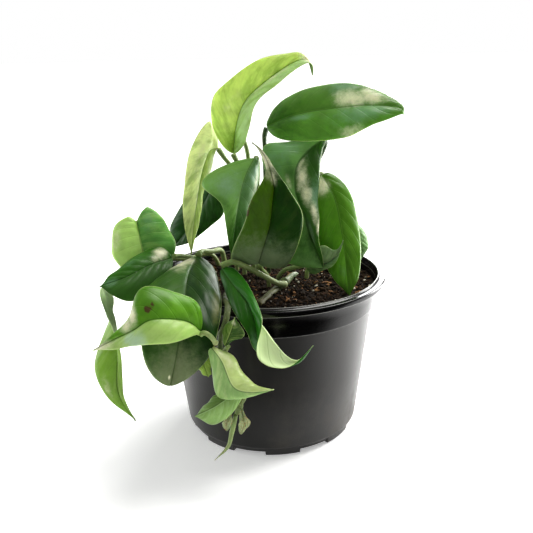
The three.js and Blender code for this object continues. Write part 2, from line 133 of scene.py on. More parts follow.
# %% Mesh from rings
def ring_mesh(name, rings, attributes=None, smooth=True):
    """A closed mesh from rings[i, j]: ring i, place j round it. Neighbouring rings are joined by
    four-sided faces, and a fan from each end ring to its mean point closes the end. Faces are turned
    outwards by the sign of the enclosed volume: a third of the sum of area times distance."""
    rows, columns = rings.shape[:2]
    poles = rings[[0, -1]].mean(axis=1)
    points = np.concatenate([rings.reshape(-1, 3), poles])
    index = np.arange(rows * columns).reshape(rows, columns)
    after = np.roll(index, -1, axis=1)
    quads = np.stack([index[:-1], after[:-1], after[1:], index[1:]], axis=-1).reshape(-1, 4)
    first = np.stack([after[0], index[0], np.full(columns, rows * columns)], axis=-1)
    last = np.stack([index[-1], after[-1], np.full(columns, rows * columns + 1)], axis=-1)
    corners = [quads[:, [0, 1, 2]], quads[:, [0, 2, 3]], first, last]
    a, b, c = np.moveaxis(points[np.concatenate(corners)], 1, 0)
    if np.einsum("ij,ij->i", a, np.cross(b, c)).sum() < 0:
        quads, first, last = quads[:, ::-1], first[:, ::-1], last[:, ::-1]
    mesh = bpy.data.meshes.new(name)
    mesh.from_pydata(points.tolist(), [], quads.tolist() + first.tolist() + last.tolist())
    mesh.polygons.foreach_set("use_smooth", np.full(len(mesh.polygons), smooth))
    for key, values in (attributes or {}).items():
        ends = values[[0, -1]].mean(axis=1)
        layer = mesh.attributes.new(key, "FLOAT", "POINT")
        layer.data.foreach_set("value", np.concatenate([values.ravel(), ends]).astype(np.float32))
    return mesh


def add_piece(name, mesh, material, slot, *nodes):
    """Puts a mesh in the scene as a piece of the plant, standing for the named CAD nodes."""
    mesh.materials.append(material)
    piece = bpy.data.objects.new(name, mesh)
    bpy.context.scene.collection.objects.link(piece)
    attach(piece, "root")
    if nodes:
        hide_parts(*nodes)
    return piece


# %% Smooth curves through a few points
def catmull_rom(points, t):
    """The curve through the points at t from 0 to 1. Each stretch is a cubic, and its slope at a point
    is half the step from the point before to the point after. End points are mirrored outwards."""
    points = np.asarray(points, float)
    spans = len(points) - 1
    padded = np.vstack([2 * points[0] - points[1], points, 2 * points[-1] - points[-2]])
    place = np.clip(t, 0, 1) * spans
    span = np.minimum(place.astype(int), spans - 1)
    u = (place - span)[:, None]
    a, b, c, d = padded[span], padded[span + 1], padded[span + 2], padded[span + 3]
    return 0.5 * (2 * b + (c - a) * u + (2 * a - 5 * b + 4 * c - d) * u**2 + (3 * b - a - 3 * c + d) * u**3)


def evenly_along(points, shares):
    """Points and unit directions on the curve at the given shares of its length. The length is summed
    over many short steps and read backwards."""
    fine = np.linspace(0, 1, 600)
    trail = catmull_rom(points, fine)
    steps = np.linalg.norm(np.diff(trail, axis=0), axis=1)
    length = np.concatenate([[0], np.cumsum(steps)])
    t = np.interp(np.asarray(shares) * length[-1], length, fine)
    ahead = catmull_rom(points, np.minimum(t + 0.002, 1)) - catmull_rom(points, np.maximum(t - 0.002, 0))
    return catmull_rom(points, t), unit(ahead), length[-1]


def unit(vectors):
    """Each vector divided by its length."""
    return vectors / np.maximum(np.linalg.norm(vectors, axis=-1, keepdims=True), 1e-12)


def value_noise(x, y, cell, seed):
    """Smooth random heights from 0 to 1: random numbers on a square lattice, blended between its
    corners with the ease curve 3s^2 - 2s^3."""
    lattice = np.random.default_rng(seed).random((64, 64))
    i, j = np.floor(x / cell).astype(int), np.floor(y / cell).astype(int)
    u, v = x / cell - i, y / cell - j
    u, v = u * u * (3 - 2 * u), v * v * (3 - 2 * v)
    corner = lambda a, b: lattice[(i + a) % 64, (j + b) % 64]
    low = corner(0, 0) * (1 - u) + corner(1, 0) * u
    high = corner(0, 1) * (1 - u) + corner(1, 1) * u
    return low * (1 - v) + high * v


# %% [markdown]
# ## Shader helpers
# A material is a small graph. These helpers add a node, set its inputs and link it in one line, so that
# each finish below reads as a recipe. Shared effects are node groups with named sockets.

# %% Node helpers
def linear(red, green, blue):
    """A screen colour from 0 to 255 as the linear numbers that the shader wants."""
    share = np.array((red, green, blue)) / 255
    curve = np.where(share > 0.04045, ((share + 0.055) / 1.055) ** 2.4, share / 12.92)
    return (*curve.tolist(), 1.0)


def add(tree, kind, settings=None, **inputs):
    """Adds a node. A value that is an output socket is linked, any other is typed in."""
    made = tree.nodes.new("ShaderNode" + kind)
    for key, value in (settings or {}).items():
        setattr(made, key, value)
    for key, value in inputs.items():
        socket = made.inputs[int(key[1:])] if key[0] == "_" else made.inputs[key.replace("_", " ")]
        if isinstance(value, bpy.types.NodeSocket):
            tree.links.new(value, socket)
        else:
            socket.default_value = value
    return made


def math_node(tree, operation, *values):
    """The result of one sum on numbers or sockets."""
    inputs = {f"_{k}": value for k, value in enumerate(values)}
    return add(tree, "Math", {"operation": operation}, **inputs).outputs[0]


def times(tree, first, second):
    """The product of two numbers or sockets."""
    return math_node(tree, "MULTIPLY", first, second)


def times_plus(tree, first, second, third):
    """first * second + third."""
    return math_node(tree, "MULTIPLY_ADD", first, second, third)


def blend_colour(tree, share, first, second):
    """Two colours mixed by a share from 0 to 1."""
    made = add(tree, "Mix", {"data_type": "RGBA"}, _0=share, _6=first, _7=second)
    return made.outputs[2]


def ramp(tree, value, low, high):
    """0 below low, 1 above high, and an eased step between."""
    settings = {"interpolation_type": "SMOOTHSTEP"}
    made = add(tree, "MapRange", settings, Value=value, From_Min=low, From_Max=high)
    return made.outputs[0]


def fade(tree, value, reach):
    """1 at value 0, eased to 0 at value reach."""
    return math_node(tree, "SUBTRACT", 1.0, ramp(tree, value, 0.0, reach))


def band(tree, value, middle, half):
    """1 where value equals middle, eased to 0 when it is half more or less."""
    return fade(tree, math_node(tree, "ABSOLUTE", math_node(tree, "SUBTRACT", value, middle)), half)


def attribute(tree, name):
    """The number stored on the mesh under this name."""
    return add(tree, "Attribute", {"attribute_name": name}).outputs["Fac"]


def noise(tree, place, scale, detail=3.0, roughness=0.5):
    """Cloudy noise from 0 to 1."""
    made = add(tree, "TexNoise", Vector=place, Scale=scale, Detail=detail, Roughness=roughness)
    return made.outputs["Fac"]


def new_group(name, inputs, outputs):
    """An empty shader group with named sockets; inputs give each one's type and default value."""
    group = bpy.data.node_groups.new(name, "ShaderNodeTree")
    for label, value in inputs.items():
        kind = "NodeSocketColor" if isinstance(value, tuple) else "NodeSocketFloat"
        group.interface.new_socket(label, in_out="INPUT", socket_type=kind).default_value = value
    for label, kind in outputs.items():
        group.interface.new_socket(label, in_out="OUTPUT", socket_type="NodeSocket" + kind)
    source = group.nodes.new("NodeGroupInput").outputs
    result = group.nodes.new("NodeGroupOutput").inputs
    return group, source, result


def new_material(name, **sockets):
    """A material with its Principled shader, whose plain numbers are typed in."""
    material = bpy.data.materials.new(name)
    material.use_nodes = True
    shader = material.node_tree.nodes["Principled BSDF"]
    for key, value in sockets.items():
        shader.inputs[key.replace("_", " ")].default_value = value
    return material, material.node_tree, shader


def use_group(tree, group, **inputs):
    """Places a shared group in a material with its own values."""
    made = tree.nodes.new("ShaderNodeGroup")
    made.node_tree = group
    for key, value in inputs.items():
        made.inputs[key.replace("_", " ")].default_value = value
    return made.outputs


def raise_surface(tree, shader, height, distance):
    """Feeds a height through a Bump node to the shader's normal; distance is in metres."""
    bump = add(tree, "Bump", Height=height, Distance=distance)
    tree.links.new(bump.outputs[0], shader.inputs["Normal"])


# %% [markdown]
# ## The pot
# A nursery pot is a thin shell of black plastic, shot in a mould: a tapered wall, a collar that steps
# out, a rolled rim and a foot with notches that let water out. It could be spun from a drawn profile with
# a modifier, but turning the profile in numpy lets the foot's profile change with the angle, which
# is what the notches need.

# %% Pot surface
POT_SIDES = 288
NOTCH_HEIGHT = 3.0 * MM
NOTCH_INNER = 49 * MM
NOTCH_HALF_ANGLE = math.radians(11)
NOTCH_FIRST = math.radians(-61)
NOTCH_COUNT = 8
NOTCH_EDGE_STEP = math.radians(0.2)
INNER_ROOF_SHIFT = 1.8 * MM


def turned(radius, height, angles):
    """Each radius and height turned to every angle round the pot's axis."""
    points = np.broadcast_arrays(radius * np.cos(angles), radius * np.sin(angles), height)
    return np.stack(points, axis=-1)


def arc(centre_radius, centre_height, radius, start, end, count):
    """Profile points on part of a circle, in millimetres and degrees."""
    angle = np.radians(np.linspace(start, end, count))
    across, up = radius * np.cos(angle), radius * np.sin(angle)
    return np.stack([centre_radius + across, centre_height + up], axis=-1)


def pot_profile():
    """Radius and height round the pot's wall in millimetres, from the middle of the foot, up the
    outside, over the rolled rim and down the inside."""
    outside = [(0.5, 0), (48.8, 0), (49, 0.2), (49.2, 0.2), (60.0, 0.2), (60.3, 0.6), (60.9, 5.4),
               (61.5, 5.9), (62.6, 6.5), (62.9, 7.2), (63.1, 8.2), (68.4, 50), (73.9, 92.9), (74.1, 93.3)]
    collar = [(75.2, 93.4), (75.5, 93.7), (75.6, 94.4), (76.6, 102), (77.3, 109.4), (77.8, 110.0)]
    rim = np.concatenate([arc(82.4, 111.0, 1.0, -90, 0, 6), arc(82.3, 112.8, 1.3, 0, 75, 6),
                          [(81.0, 113.7), (79.3, 113.9)], arc(78.2, 114.1, 0.9, 50, 180, 7)])
    inside = [(76.9, 112), (76.3, 110.4), (75.2, 102), (74.2, 93.6), (72.9, 92.6), (67.2, 50), (61.8, 8.2),
              (59.6, 6.3), (59.0, 1.9), (58.6, 1.6), (47.8, 1.6), (47.4, 1.6), (0.5, 1.6)]
    return np.concatenate([outside, collar, rim, inside]) * MM


def pot_rings():
    """Turns the profile round the axis. Within a notch's angle the foot's outer ring, all points lower
    than the notch and beyond its inner radius, is lifted to the notch's roof."""
    profile = pot_profile()
    angles = np.linspace(0, 2 * math.pi, POT_SIDES, endpoint=False)
    middles = NOTCH_FIRST + np.arange(NOTCH_COUNT) * 2 * math.pi / NOTCH_COUNT
    edges = (middles[:, None] + np.array((-1, 1)) * NOTCH_HALF_ANGLE).ravel() % (2 * math.pi)
    angles = np.sort(np.concatenate([angles, edges - NOTCH_EDGE_STEP, edges + NOTCH_EDGE_STEP]))
    off = (angles[:, None] - middles + math.pi) % (2 * math.pi) - math.pi
    in_notch = (np.abs(off) < NOTCH_HALF_ANGLE).any(axis=1)
    radius, height = profile[:, :1], profile[:, 1:]
    outer = np.arange(len(profile))[:, None] < len(profile) // 2
    floor_part = (radius > NOTCH_INNER - INNER_ROOF_SHIFT) & (height < NOTCH_HEIGHT)
    under = floor_part & outer & (radius > NOTCH_INNER - 0.1 * MM)
    over = floor_part & ~outer
    lift = np.where(under, NOTCH_HEIGHT - height, 0) + np.where(over, NOTCH_HEIGHT, 0)
    height = height + lift * in_notch[None]
    return turned(radius, height, angles) + AXIS


# %% Pot plastic
def mould_grain_group():
    """Fine moulded grain and thin upright scuffs for plastic."""
    group, source, result = new_group(
        "mould_grain", {"Grain Scale": 900.0, "Scuff Scale": 60.0}, {"Height": "Float", "Scuff": "Float"})
    place = add(group, "TexCoord").outputs["Object"]
    grain = add(group, "TexNoise", Vector=place, Scale=source["Grain Scale"], Detail=3.0).outputs["Fac"]
    stretched = add(group, "Mapping", Vector=place, Scale=(1, 1, 0.16)).outputs[0]
    scuffs = add(group, "TexNoise", Vector=stretched, Scale=source["Scuff Scale"], Detail=6.0).outputs["Fac"]
    group.links.new(grain, result["Height"])
    group.links.new(ramp(group, scuffs, 0.52, 0.75), result["Scuff"])
    return group


mould_grain = mould_grain_group()
COLLAR_BOTTOM = 93.4 * MM
LIP_EDGE = 110.2 * MM
BEAD_TOP = 115 * MM
DUST_TOP = 90 * MM
POT_GRAIN_DEPTH = 0.05 * MM


def pot_plastic():
    """Satin black plastic: handling has dulled the wall, and the collar under the rim is painted near-black
    as painted shade. Grey painted highlight lines lie along the step, the lip and the bead on the rim. Dust
    gathers low on the wall."""
    material, tree, shader = new_material("pot_plastic", Specular_IOR_Level=0.5)
    grain = use_group(tree, mould_grain)
    place = add(tree, "TexCoord").outputs["Object"]
    height = add(tree, "SeparateXYZ", Vector=place).outputs["Z"]
    wall = ramp(tree, height, COLLAR_BOTTOM, COLLAR_BOTTOM - 1 * MM)
    dust = noise(tree, place, 25, 6, 0.65)
    low_dust = times(tree, ramp(tree, dust, 0.45, 0.8), ramp(tree, height, DUST_TOP, 0.0))
    # Painted shade: the collar under the rolled rim is coloured near-black, and the wall below it dark grey.
    colour = blend_colour(tree, wall, linear(6, 6, 6), linear(23, 22, 19))
    colour = blend_colour(tree, times(tree, grain["Scuff"], 0.5), colour, linear(48, 46, 41))
    colour = blend_colour(tree, times(tree, low_dust, 0.4), colour, linear(88, 80, 68))
    # Painted highlights: grey lines at the step, the lip and the bead stand for light caught on those edges.
    edges = math_node(tree, "MAXIMUM", band(tree, height, COLLAR_BOTTOM, 0.5 * MM),
                      band(tree, height, LIP_EDGE, 0.7 * MM))
    edges = math_node(tree, "MAXIMUM", edges, band(tree, height, BEAD_TOP, 0.5 * MM))
    painted_highlights = times(tree, edges, times_plus(tree, dust, 0.9, 0.4))
    colour = blend_colour(tree, painted_highlights, colour, linear(120, 120, 115))
    rough = times_plus(tree, wall, 0.12, 0.17)
    rough = times_plus(tree, grain["Scuff"], 0.12, rough)
    rough = times_plus(tree, low_dust, 0.25, rough)
    tree.links.new(colour, shader.inputs["Base Color"])
    tree.links.new(rough, shader.inputs["Roughness"])
    raise_surface(tree, shader, grain["Height"], POT_GRAIN_DEPTH)
    return material


pot = add_piece("nursery_pot", ring_mesh("nursery_pot", pot_rings()), pot_plastic(), "pot_plastic", "pot")
print("pot faces", len(pot.data.polygons))

# %% [markdown]
# ## The soil
# Potting mix is dark peat with bark chips and white perlite. One lumpy solid fills the pot, and
# thousands of small crumbs lie on it. Each crumb is a twenty-sided lump, squashed and turned at random
# with fixed seeds, so it looks rough but costs few faces.

# %% Soil surface
SOIL_RADIUS = 75.6 * MM
SOIL_EDGE_HEIGHT = 107 * MM
SOIL_CROWN = 1.6 * MM
SOIL_SIDES = 260
SOIL_RINGS = 84
SOIL_TONE = 0.15
LUMP_SPREAD = 0.96
LUMP_SUNK = 0.2
LUMP_ROUGHNESS = 0.45
LUMP_TILT = 1.2


def soil_height(x, y):
    """Height of the soil: a low dome, broad humps and fine lumps of value noise."""
    dome = SOIL_CROWN * (1 - (x * x + y * y) / SOIL_RADIUS**2)
    humps = 2.6 * MM * (value_noise(x, y, 17 * MM, 3) - 0.5)
    lumps = 1.6 * MM * (value_noise(x, y, 4.5 * MM, 5) - 0.5)
    crumbs = 0.9 * MM * (value_noise(x, y, 1.8 * MM, 8) - 0.5)
    return SOIL_EDGE_HEIGHT + dome + humps + lumps + crumbs


def soil_rings():
    """The soil as one solid: rings on the lumpy top, then down the wall and across the foot."""
    angles = np.linspace(0, 2 * math.pi, SOIL_SIDES, endpoint=False)
    top = turned(np.linspace(0.4 * MM, SOIL_RADIUS, SOIL_RINGS)[:, None], 0, angles)
    top[..., 2] = soil_height(top[..., 0], top[..., 1])
    side = np.array([(73.4, 93.8), (72.2, 92.2), (61.0, 9.0), (58.6, 6.4), (58.2, 5), (1, 5)]) * MM
    return np.concatenate([top, turned(side[:, :1], side[:, 1:], angles)]) + AXIS


def lump_shape():
    """Corners and faces of a twenty-sided solid: the golden-ratio rectangles of an icosahedron."""
    golden = (1 + math.sqrt(5)) / 2
    pair = np.array([(-1, golden), (1, golden), (-1, -golden), (1, -golden)])
    corners = np.concatenate([np.insert(pair, 2, 0, axis=1), np.insert(pair, 0, 0, axis=1),
                              np.insert(pair[:, ::-1], 1, 0, axis=1)])
    near = np.linalg.norm(corners[:, None] - corners[None], axis=-1) < 2.1
    faces = [(a, b, c) for a in range(12) for b in range(a + 1, 12) for c in range(b + 1, 12)
             if near[a, b] and near[b, c] and near[a, c]]
    faces = np.array(faces)
    a, b, c = corners[faces[:, 0]], corners[faces[:, 1]], corners[faces[:, 2]]
    inward = np.einsum("ij,ij->i", a, np.cross(b, c)) < 0
    faces[inward] = faces[inward][:, ::-1]
    return unit(corners), faces


def swung(bodies, angle, first, second):
    """Each body turned by its own angle in the plane of two of the three directions."""
    cosine, sine = np.cos(angle)[:, None], np.sin(angle)[:, None]
    result = bodies.copy()
    result[..., first] = bodies[..., first] * cosine - bodies[..., second] * sine
    result[..., second] = bodies[..., first] * sine + bodies[..., second] * cosine
    return result


def scattered_lumps(name, count, size, shape, seed):
    """Lumps lying on the soil. Each has its own size between the two in size, a shape (length, width,
    height) as shares of it, roughened corners, and a random turn mostly about the upright axis."""
    random = np.random.default_rng(seed)
    corners, faces = lump_shape()
    angle = random.random(count) * 2 * math.pi
    radius = SOIL_RADIUS * LUMP_SPREAD * np.sqrt(random.random(count))
    x, y = radius * np.cos(angle), radius * np.sin(angle)
    scale = size[0] + (size[1] - size[0]) * random.random(count) ** 2
    body = corners * (1 + LUMP_ROUGHNESS * (random.random((count, 12, 1)) - 0.5)) * np.array(shape)
    tilt = (random.random(count) - 0.5) * LUMP_TILT
    turn = random.random(count) * 2 * math.pi
    body = swung(swung(body, tilt, 0, 2), turn, 0, 1) * scale[:, None, None]
    lowest = scale * shape[2] * (1 - 2 * LUMP_SUNK)
    centres = np.stack([x, y, soil_height(x, y) + lowest], axis=-1) + AXIS
    points = (body + centres[:, None]).reshape(-1, 3)
    every = (faces[None] + 12 * np.arange(count)[:, None, None]).reshape(-1, 3)
    mesh = bpy.data.meshes.new(name)
    mesh.from_pydata(points.tolist(), [], every.tolist())
    tone = mesh.attributes.new("tone", "FLOAT", "POINT")
    tone.data.foreach_set("value", np.repeat(random.random(count), 12).astype(np.float32))
    return mesh


# %% Soil finishes
def crumb_material(name, dark, light, roughness=0.9):
    """Loose matter whose colour runs from dark to light by each lump's own tone and by fine noise."""
    material, tree, shader = new_material(name, Roughness=roughness, Specular_IOR_Level=0.2)
    place = add(tree, "TexCoord").outputs["Object"]
    fine = noise(tree, place, 700, 4, 0.6)
    tone = times_plus(tree, fine, 0.6, times(tree, attribute(tree, "tone"), 0.7))
    colour = blend_colour(tree, ramp(tree, tone, 0.2, 1.1), dark, light)
    tree.links.new(colour, shader.inputs["Base Color"])
    raise_surface(tree, shader, fine, 0.4 * MM)
    return material


peat = crumb_material("peat", linear(20, 14, 10), linear(78, 60, 44))
bark = crumb_material("bark", linear(58, 36, 22), linear(164, 122, 84))
perlite = crumb_material("perlite", linear(120, 112, 98), linear(236, 230, 216), 0.8)

rings = soil_rings()
soil_mesh = ring_mesh("potting_soil", rings, {"tone": np.full(rings.shape[:2], SOIL_TONE)})
add_piece("potting_soil", soil_mesh, peat, "potting_mix", "soil")
grit = [
    ("soil_crumbs", 5200, (0.5 * MM, 1.7 * MM), (1, 0.8, 0.7), 11, peat),
    ("bark_chips", 300, (1.0 * MM, 3.4 * MM), (1, 0.45, 0.25), 12, bark),
    ("perlite_grains", 190, (0.4 * MM, 1.5 * MM), (1, 0.9, 0.8), 13, perlite),
]
for name, count, size, shape, seed, material in grit:
    add_piece(name, scattered_lumps(name, count, size, shape, seed), material, "potting_mix")
    print(name, count, "lumps")

# %% [markdown]
# ## Leaf blades
# A pothos blade is a thin waxy sheet. Its midrib lies in a groove, and each half arches up from it,
# reaches its full width near the base and narrows to a drip tip. A flat outline bent by modifiers would
# be hard to steer, so a blade is worked out directly: a curve for the midrib, and for each half a
# reach vector that turns and shortens along it. The numbers are the CAD part's, in millimetres from the
# pot's axis.

# %% The leaf table
REACH_FIRST = 0.1
REACH_LAST = 0.8

LEAVES = {
    "crown": dict(
        spine=[(-23, 5, 199), (-20, -2, 218), (-13, -4, 235), (5, -2, 250), (21, 2, 259), (29, 2, 259),
               (32, 2, 250)],
        left=[(-18, -2, 6), (-19, 3, 7), (-19, 2, 6), (-11, 2, 12), (-5, 4, 10)],
        right=[(11, -8, -1), (9, -7, -1), (7, -8, -2), (6, -9, -3), (6, -9, -5)],
        shoulder=0.4),
    "high_right": dict(
        spine=[(1, 12, 216), (20, 8, 224), (44, 2, 228), (70, -4, 230), (89, -9, 228), (92, -9, 224)],
        left=[(-7, 20, 11), (1, 16, 16), (4, 16, 15)],
        right=[(0, -14, -20), (4, -14, -19), (-7, -15, -20)],
        shoulder=0.42, fullness=0.65),
    "tall_left": dict(
        spine=[(-34, 10, 202), (-40, 6, 200), (-45, 2, 187), (-50, 0, 164), (-54, 2, 142), (-56, 4, 127)],
        left=[(6, 9, 1), (6, 9, 3), (4, 10, 1), (7, 14, 0)],
        right=[(3, -7, 29), (-7, -7, 17), (-10, -8, 8), (-13, -10, 5)]),
    "back_left": dict(
        spine=[(-39, 28, 174), (-47, 27, 160), (-59, 28, 142), (-72, 31, 125)],
        left=[(13, -6, -15), (10, -7, -9), (8, -10, -14)],
        right=[(-10, 10, 9), (-16, 8, 1), (-25, 11, 4)]),
    "mid_left": dict(
        spine=[(-8, -8, 197), (-15, -16, 184), (-21, -19, 161), (-26, -14, 130)],
        left=[(8, 13, 1), (10, 12, 2), (12, 11, 3), (10, 10, -4), (4, 10, -13)],
        right=[(-30, 5, -2), (-28, -1, 0), (-13, -6, 1), (-9, -6, -3), (-10, -6, -10)]),
    "front_centre": dict(
        spine=[(-7, -36, 131), (-3, -41, 145), (1, -44, 159), (3, -46, 174), (4, -45, 185), (1, -42, 198),
               (-4, -38, 207), (-9, -34, 211)],
        left=[(-27, 3, -6), (-16, -4, 6), (-15, -5, 5), (-13, -4, 1), (-3, -1, -7)],
        right=[(21, 3, -14), (21, -3, -3), (20, -5, 1), (11, -4, 1), (7, -1, -4)],
        shoulder=0.32),
    "mid_right": dict(
        spine=[(37, -3, 207), (27, -8, 200), (20, -14, 191), (19, -18, 175), (24, -23, 161),
               (28, -30, 148), (32, -36, 138), (36, -40, 129)],
        left=[(14, 5, 1), (17, 3, -3), (12.5, -1.5, -3), (7, -12, -3)],
        right=[(-21, 10, 7), (-22, 16, 15), (-19, 6, 6), (-30, 3, -24)],
        shoulder=0.4),
    "low_right": dict(
        spine=[(25, -30, 130), (32, -33, 128), (39, -37, 131), (46, -40, 138), (49, -41, 147)],
        left=[(-4, 3, 10), (-2, 2, 12), (-4, 4, 2)],
        right=[(-2, -1, -7), (-2, -2, -5), (-2, -2, -11)]),
    "right": dict(
        spine=[(38, -6, 184), (46, -16, 169), (50, -26, 147), (52, -36, 125), (53, -44, 109)],
        left=[(8, 8, 7), (12, 6, 2), (15, 2, -3), (19, -5, -16)],
        right=[(-15, -2, -3), (-17, 0, -8), (-18, 0, -15), (-18, -10, -20)]),
    "far_right": dict(
        spine=[(57, 24, 145), (63, 25, 132), (67, 25, 121), (69, 23, 112)],
        left=[(12, 8, -2), (14, 6, -5), (14, 5, -4)],
        right=[(-5, -6, -8), (-3, -3, -8), (-2, -5, -8)]),
    "back_left_heart": dict(
        spine=[(-93, 2, 152), (-90, -6, 141), (-87, -10, 126), (-89, -8, 112)],
        left=[(8, 8, 17), (15, 11, 12), (20, 11, 10), (28, 12, 9), (34, 11, 4)],
        right=[(-9, -1, 10), (-17, 0, 9), (-22, -2, 5), (-28, -4, 2), (-25, -8, -5)],
        fullness=0.4),
    "left_dark": dict(
        spine=[(-67, -18, 131), (-81, -28, 129), (-96, -38, 124), (-112, -44, 120)],
        left=[(5, -10, -7.5), (-3, -16, -18), (-9, -20, -15)],
        right=[(-6, 14, 9), (-11, 8, 4), (-16, 7, 4)]),
    "big_left": dict(
        spine=[(-50, -12, 130), (-53, -44, 127), (-53, -78, 118), (-56, -92, 98), (-62, -94, 72)],
        left=[(19, 3, -6), (23, -18.7, -8), (22, -13, -16), (27, -1, -13)],
        right=[(-22, -9.5, -3.5), (-27, -15, -4), (-27, -16, -13), (-31, 0, -17)],
        shoulder=0.4),
    "front_left": dict(
        spine=[(-42, -96, 108), (-48, -101, 116), (-58, -106, 120), (-69, -110, 121), (-79, -110, 115),
               (-92, -107, 108), (-104, -104, 101)],
        left=[(3, -3, -7), (2, -7, -11), (0, -7, -13), (-3, -6, -11), (-4, -5, -14)],
        right=[(5, 8, 12), (2, 12, 12), (-7, 15, 16), (-5, 6, 8), (-6, 3, 4)]),
    "left_twisted": dict(
        spine=[(-113, -30, 114), (-104, -46, 98), (-101, -56, 80), (-103, -58, 51), (-94, -54, 26)],
        left=[(-6, -4, 6), (-1, -6, 4), (5, -5, 0), (9, -1, -14)],
        right=[(6, -4, 4), (-10, 12, -3), (-21, 5, -3), (-17, -1, -5)]),
    "front_pale": dict(
        spine=[(-35, -98, 98), (-29, -103, 91), (-23, -105, 76), (-13, -103, 71), (1, -97, 69)],
        left=[(0, 9, 1), (6, 11, 6), (1, 15, 4)],
        right=[(-7, 4, -2), (-10, 4, -9.5), (-17, -2.5, -7.5)]),
    "front_low": dict(
        spine=[(-18, -98, 69), (-27, -101, 66), (-36, -105, 62), (-47, -102, 55)],
        left=[(0, 3, -11), (0, 7, -18), (-3, 10, -21)],
        right=[(-6, 3, 2), (-6, 5, 1), (-3, 10, 2)]),
    "front_dark": dict(
        spine=[(-31, -46, 131), (-20, -72, 125), (-11, -90, 120), (-5, -98, 112), (2, -102, 102),
               (10, -103, 93), (17, -102, 91), (25, -100, 99)],
        left=[(5, 14, 3), (9, -6, 1), (7, -16, -5), (-8, -15, -12), (-25, -19, -10)],
        right=[(-4, -1, -5), (-4, -10, -7), (-3, -10, -13), (-8, 5, -22), (-2, 18, -18)]),
    "front_small": dict(
        spine=[(-28, -93, 97), (-25, -94, 104), (-22.5, -94.7, 111), (-21, -95.3, 116)],
        left=[(-2, 2, 4), (-4, 3, 4), (-2, 5, 4)],
        right=[(5, 0, 2), (8, -2, -2), (14, 0, -8)]),
    "low_yellow": dict(
        spine=[(-40, -91, 90), (-41, -92, 85), (-40, -92, 81), (-39, -91, 76)],
        left=[(5, 2, -3), (4, 1, -3), (4, 3, -6)],
        right=[(-3, 1, -2), (-4, 1, -2), (-6, 3, -4)]),
}
